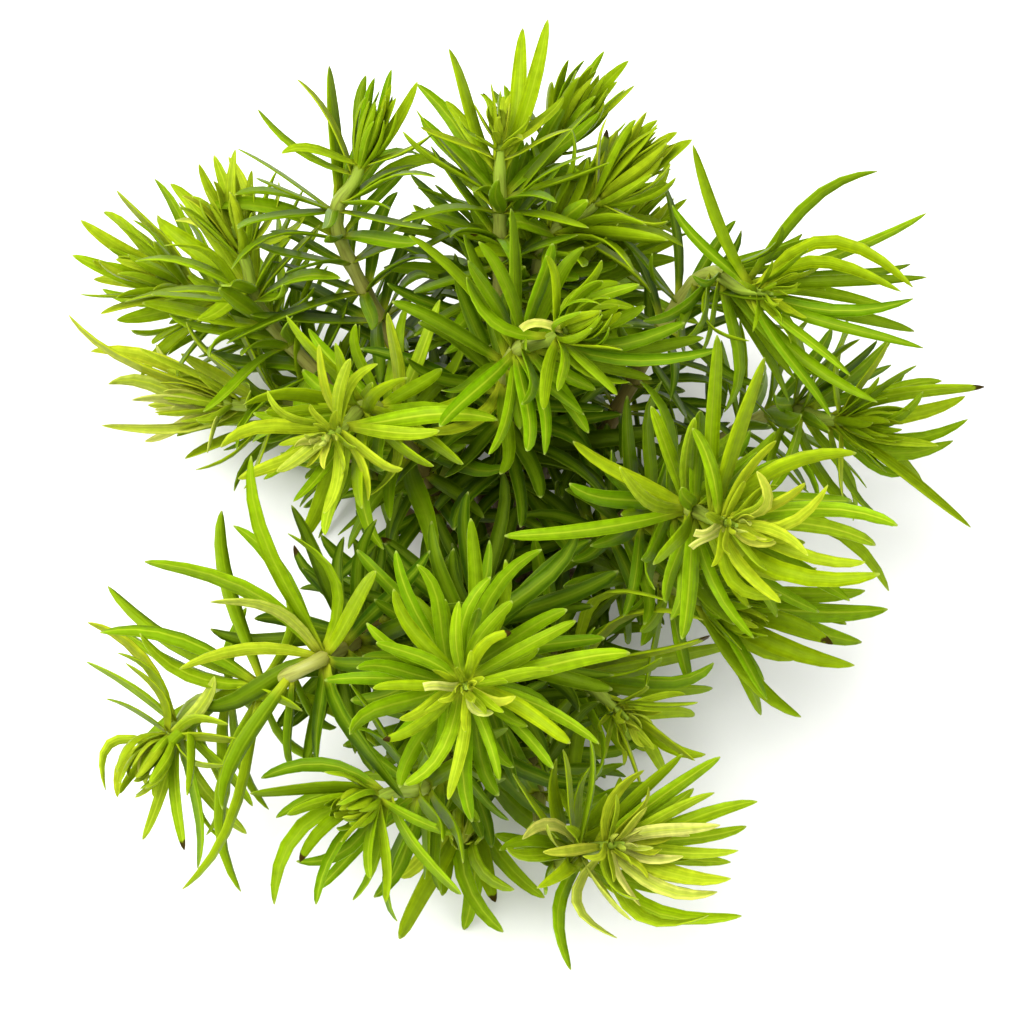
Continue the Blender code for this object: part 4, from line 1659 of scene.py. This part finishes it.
    def lay_seen(self, crowd: Crowd) -> None:
        """Lays the leaves that the view shows, the longest first.

        Args:
            crowd: the leaves and stems that already stand.
        """
        read, end = self.reading, self.line.length
        shown = sorted(read.rosette, key=lambda leaf: -leaf[1])
        half = (len(shown) + 1) // 2
        (low, high), (upper, lower) = SEEN.rosette_marks, self.seen_marks()
        groups = (
            (shown[:half], end + low, self.young, SEEN.young_length, SEEN.rosette_ages[0]),
            (shown[half:], end + high, self.young, SEEN.young_length, SEEN.rosette_ages[1]),
            (read.pale, end + SEEN.pale_mark, self.newest, SEEN.pale_length, SEEN.pale_age),
            (read.stubs, end + SEEN.pale_mark, self.newest, SEEN.pale_length, SEEN.stub_age),
            (read.whorl, upper, self.grown, SEEN.grown_length, SEEN.whorl_ages[0]),
            (read.lower, lower, self.grown, SEEN.grown_length, SEEN.whorl_ages[1]),
        )
        for readings, mark, leaves, usual, age in groups:
            for one in sorted(readings, key=lambda leaf: -leaf[1]):
                choices = list(self.seen_choices(self.station(mark), one, usual, age))
                if not choices:
                    continue
                leaf = crowd.roomiest(choices, SEEN.room)
                leaf.cut = readings is read.stubs
                leaf.twist *= SEEN.twist_kept
                leaf.browned = float(one[0] in read.browned)
                leaves.append(leaf)
                crowd.add_leaf(leaf)

    def fill_whorls(self, crowd: Crowd) -> None:
        """Fills each whorl all round with grown leaves, down to the foot of the stem.

        Args:
            crowd: the leaves and stems that already stand.
        """
        for number, mark in enumerate(self.whorls):
            station = self.station(mark)
            below = (self.line.length - mark) / MM
            first, second = station.sides()
            spaced = number * math.pi / FILLING.in_whorl
            phase = spaced + self.chance.uniform(-FILLING.phase, FILLING.phase)
            taken = [
                across(leaf.reach(), station.axis)
                for leaf in self.grown
                if (Vector(leaf.controls[0]) - station.point).length < FILLING.same_whorl
            ]
            for i in range(FILLING.in_whorl):
                turn = phase + 2 * math.pi * i / FILLING.in_whorl
                outward = math.cos(turn) * first + math.sin(turn) * second
                if any(outward.dot(other) > FILLING.same_way for other in taken):
                    continue
                leaf = crowd.roomiest(self.fill_choices(station, outward, below), FILLING.room)
                if below < self.reading.bare_down and self.in_bare(leaf):
                    continue
                leaf.width *= FILLING.broader
                self.grown.append(leaf)
                crowd.add_leaf(leaf)

    def fill_choices(self, station: Station, outward: Vector, below: float) -> Iterator[Leaf]:
        """Leaves that stand about this way out of a whorl, each turned a little differently.

        Args:
            station: where the whorl stands.
            outward: the direction away from the stem, square to it.
            below: how far the whorl is from the shoot's tip, in mm.

        Yields:
            The leaves.
        """
        # Deeper whorls are darker, partly for their age and partly as painted shade deep inside the clump;
        # tone adds the shoot's painted light and shade.
        age = min(1.0, FILLING.first_age + below / FILLING.ageing_and_shade_mm + self.reading.tone)
        spread = min(FILLING.widest, FILLING.spread + FILLING.spread_per_mm * below)
        length = next(length for down_to, length in FILLING.lengths_mm if below < down_to) * MM
        for _ in range(FILLING.tries):
            angle = math.radians(spread + self.chance.uniform(-FILLING.tilt, FILLING.tilt))
            turn = self.chance.uniform(-FILLING.turn, FILLING.turn)
            turned = Matrix.Rotation(turn, 3, station.axis) @ outward
            heading = math.cos(angle) * station.axis + math.sin(angle) * turned
            tip = station.point + heading * length * self.chance.uniform(*FILLING.length_range)
            tip.z = max(tip.z, FILLING.tip_height)
            yield self.make_leaf(station.root(turned), turned, station.axis, tip, age)

    def in_bare(self, leaf: Leaf) -> bool:
        """Tells whether a leaf would show where the view shows none.

        Args:
            leaf: the leaf.

        Returns:
            Whether it points in one of the shoot's bare directions.
        """
        if self.reading.bare is None:
            return False
        reach = leaf.reach()
        right, up = reach.dot(VIEW.right), reach.dot(VIEW.up)
        low, high = self.reading.bare
        turned = (math.degrees(math.atan2(up, right)) - low) % 360
        return turned < high - low and math.hypot(right, up) > FILLING.shows_from

    def lay_bud(self) -> None:
        """Lays the newest leaves. An open bud's lean apart, a closed one's bow out and meet again, and a
        brush is a sheaf of long ones."""
        chance, form = self.chance, BUDS[self.reading.bud]
        for number, ring in enumerate(form.rings):
            station = self.station(self.line.length + ring.beyond)
            first, second = station.sides()
            # The shoot's tone adds its painted light and shade to the leaf's age.
            age = ring.age + self.reading.tone
            for i in range(ring.count):
                turn = form.ring_turn * number + 2 * math.pi * i / ring.count
                turn += chance.uniform(-form.turn, form.turn)
                outward = math.cos(turn) * first + math.sin(turn) * second
                spread = ring.spread + chance.uniform(-form.tilt, form.tilt)
                angle = math.radians(spread * self.reading.bud_spread)
                heading = math.cos(angle) * station.axis + math.sin(angle) * outward
                length = ring.length * chance.uniform(*form.lengths) * self.reading.bud_size
                tip = station.point + heading * length
                root = station.point + form.root * outward
                leaf = self.make_leaf(root, outward, station.axis, tip, age, bend=form.bend)
                leaf.controls[1:3] += np.array(outward) * form.bulge * length
                leaf.fold = chance.uniform(*form.folds)
                leaf.width *= form.width
                self.newest.append(leaf)

    def build(self, blade: Blade, stem_material: bpy.types.Material) -> None:
        """Makes the shoot's four pieces and ties them to the frame.

        Args:
            blade: the leaf that its leaves are copies of.
            stem_material: its stem's material.
        """
        stem = Stem(self.line, self.whorls, self.bud_length, material=stem_material)
        pieces = (
            (stem.build(f"{self.name}_stem"), "stem", Slot.GROWN),
            (blade.grow(self.grown, f"{self.name}_leaves"), "stem", Slot.GROWN),
            (blade.grow(self.young, f"{self.name}_rosette"), "rosette", Slot.YOUNG),
            (blade.grow(self.newest, f"{self.name}_bud"), "rosette", Slot.YOUNG),
        )
        for piece, node, slot in pieces:
            attach(piece, slot, f"{node}_{self.name}")


@dataclass
class StemBase:
    """The short thick basal stem that all shoots fork from, cut off flat where it left the ground."""

    material: bpy.types.Material
    ridge_depth: float = 0.9 * MM
    ridge_size: float = 3.0 * MM

    def build(self) -> None:
        """Models the base as a ball that is cut off flat, drawn to its outline and ridged."""
        deselect_all()
        bpy.ops.mesh.primitive_ico_sphere_add(subdivisions=5, radius=1)
        base = bpy.context.object
        bpy.ops.object.mode_set(mode="EDIT")
        bpy.ops.mesh.select_all(action="SELECT")
        bpy.ops.mesh.bisect(plane_co=(0, 0, 0), plane_no=(0, 0, 1), clear_inner=True, use_fill=True)
        bpy.ops.mesh.select_all(action="SELECT")
        bpy.ops.transform.resize(value=(BASE_RADIUS, BASE_RADIUS, BASE_HEIGHT), center_override=(0, 0, 0))
        bpy.ops.object.mode_set(mode="OBJECT")
        texture = bpy.data.textures.new("ridges", "CLOUDS")
        texture.noise_scale = self.ridge_size
        push = base.modifiers.new("ridges", "DISPLACE")
        push.texture = texture
        push.texture_coords = "LOCAL"
        push.strength = -self.ridge_depth
        push.mid_level = 0.0
        bpy.ops.object.modifier_apply(modifier=push.name)
        for vertex in base.data.vertices:
            vertex.co.z = max(vertex.co.z, 0.0)
        bpy.ops.object.shade_smooth_by_angle(angle=SMOOTH_BELOW)
        base.data.materials.append(self.material)
        base.name = base.data.name = "basal_stem"
        attach(base, Slot.BASE, "stem_base")


@dataclass
class Clump:
    """The whole plant. Its stems start at least start_spacing apart, in radians, and flattest_start is the
    least share of a start's direction that points up."""

    seed: int = 11
    start_spacing: float = math.radians(21)
    spacing_steps: int = 200
    flattest_start: float = 0.2
    shoots: list[Shoot] = field(init=False)

    def __post_init__(self) -> None:
        """Lays out the shoots, which share one source of chance."""
        chance = random.Random(self.seed)
        self.shoots = [
            Shoot(name, reading, start, chance)
            for (name, reading), start in zip(READINGS.items(), self.starts())
        ]

    def starts(self) -> list[Vector]:
        """Finds the directions in which the shoots leave the base: each towards its tip, and then pushed
        apart until the stems have room.

        Returns:
            The directions, in the readings' order.
        """
        tips = [VIEW.placed(*(MM * Vector(reading.tip))) for reading in READINGS.values()]
        starts = [(tip - Vector((0, 0, BASE_HEIGHT / 3))).normalized() for tip in tips]
        least = 2 * math.sin(self.start_spacing / 2)
        for _ in range(self.spacing_steps):
            for i, first in enumerate(starts):
                for j, second in enumerate(starts[:i]):
                    apart = first - second
                    if apart.length < least:
                        push = apart.normalized() * (least - apart.length) / 2
                        starts[i] = (starts[i] + push).normalized()
                        starts[j] = (starts[j] - push).normalized()
            starts = [Vector((s.x, s.y, max(s.z, self.flattest_start))).normalized() for s in starts]
        return starts

    def lay_leaves(self) -> None:
        """Lays every leaf: first those that the view shows, then those that fill the whorls."""
        crowd = Crowd()
        for shoot in self.shoots:
            shoot.add_to(crowd)
        for shoot in self.shoots:
            shoot.lay_seen(crowd)
        for shoot in self.shoots:
            shoot.fill_whorls(crowd)
            shoot.lay_bud()
        LOG.info("%d leaves", sum(len(s.grown) + len(s.young) + len(s.newest) for s in self.shoots))

    def build(self) -> None:
        """Makes every piece of the plant."""
        self.lay_leaves()
        blade = Blade(material=LeafFinish().material())
        blade.model()
        stem_material = StemFinish().material()
        for shoot in self.shoots:
            shoot.build(blade, stem_material)
        blade.remove()
        StemBase(BarkFinish().material()).build()


@dataclass(frozen=True)
class SoftLight:
    """A square soft light that faces the clump."""

    name: str
    place: Place
    size: float
    watts: float
    faces: Place = (0, 0, 40 * MM)

    def build(self) -> None:
        """Adds the light."""
        ray = Vector(self.faces) - Vector(self.place)
        bpy.ops.object.light_add(
            type="AREA", location=self.place, rotation=ray.to_track_quat("-Z", "Y").to_euler()
        )
        light = bpy.context.object
        light.name = self.name
        light.data.size = self.size
        light.data.energy = self.watts


@dataclass(frozen=True)
class Studio:
    """A pale floor just under the clump, and plain soft light."""

    floor_size: float = 6.0
    floor_height: float = -0.2 * MM
    floor_colour: str = "#F4F4F2"
    floor_roughness: float = 0.9
    lights: tuple[SoftLight, ...] = (
        SoftLight("key", (-0.35, -0.1, 0.85), 0.8, 11.5),
        SoftLight("fill", (0.6, -0.5, 0.7), 0.7, 3.0),
    )
    sky_strength: float = 0.66
    gamma: float = 0.95
    exposure: float = 0.3

    def build(self) -> None:
        """Adds the floor, the lights and the world."""
        deselect_all()
        bpy.ops.mesh.primitive_plane_add(size=self.floor_size, location=(0, 0, self.floor_height))
        floor = bpy.context.object
        floor.name = "floor"
        floor.data.materials.append(self.floor_material())
        for light in self.lights:
            light.build()
        self.set_world()

    def floor_material(self) -> bpy.types.Material:
        """Makes the floor's material.

        Returns:
            Matt white paper, which shows no gloss.
        """
        material, tree = new_material("matt_white_floor")
        paper = {"Base Color": linear(self.floor_colour), "Roughness": self.floor_roughness}
        show(tree, add_node(tree, "BsdfPrincipled", paper))
        return material

    def set_world(self) -> None:
        """Sets a plain white sky, which glossy surfaces don't mirror, and the picture's tones."""
        world = bpy.data.worlds.new("studio")
        world.use_nodes = True
        sky = world.node_tree.nodes["Background"]
        sky.inputs["Color"].default_value = WHITE
        sky.inputs["Strength"].default_value = self.sky_strength
        scene = bpy.context.scene
        scene.world = world
        world.cycles_visibility.glossy = False
        scene.view_settings.view_transform = "Standard"
        scene.view_settings.gamma = self.gamma
        scene.view_settings.exposure = self.exposure


def main() -> None:
    """Builds the plant and the studio about it."""
    logging.basicConfig(level=logging.INFO, format="%(name)s: %(message)s")
    VIEW.add_camera()
    Clump().build()
    Studio().build()


if __name__ == "__main__":
    main()
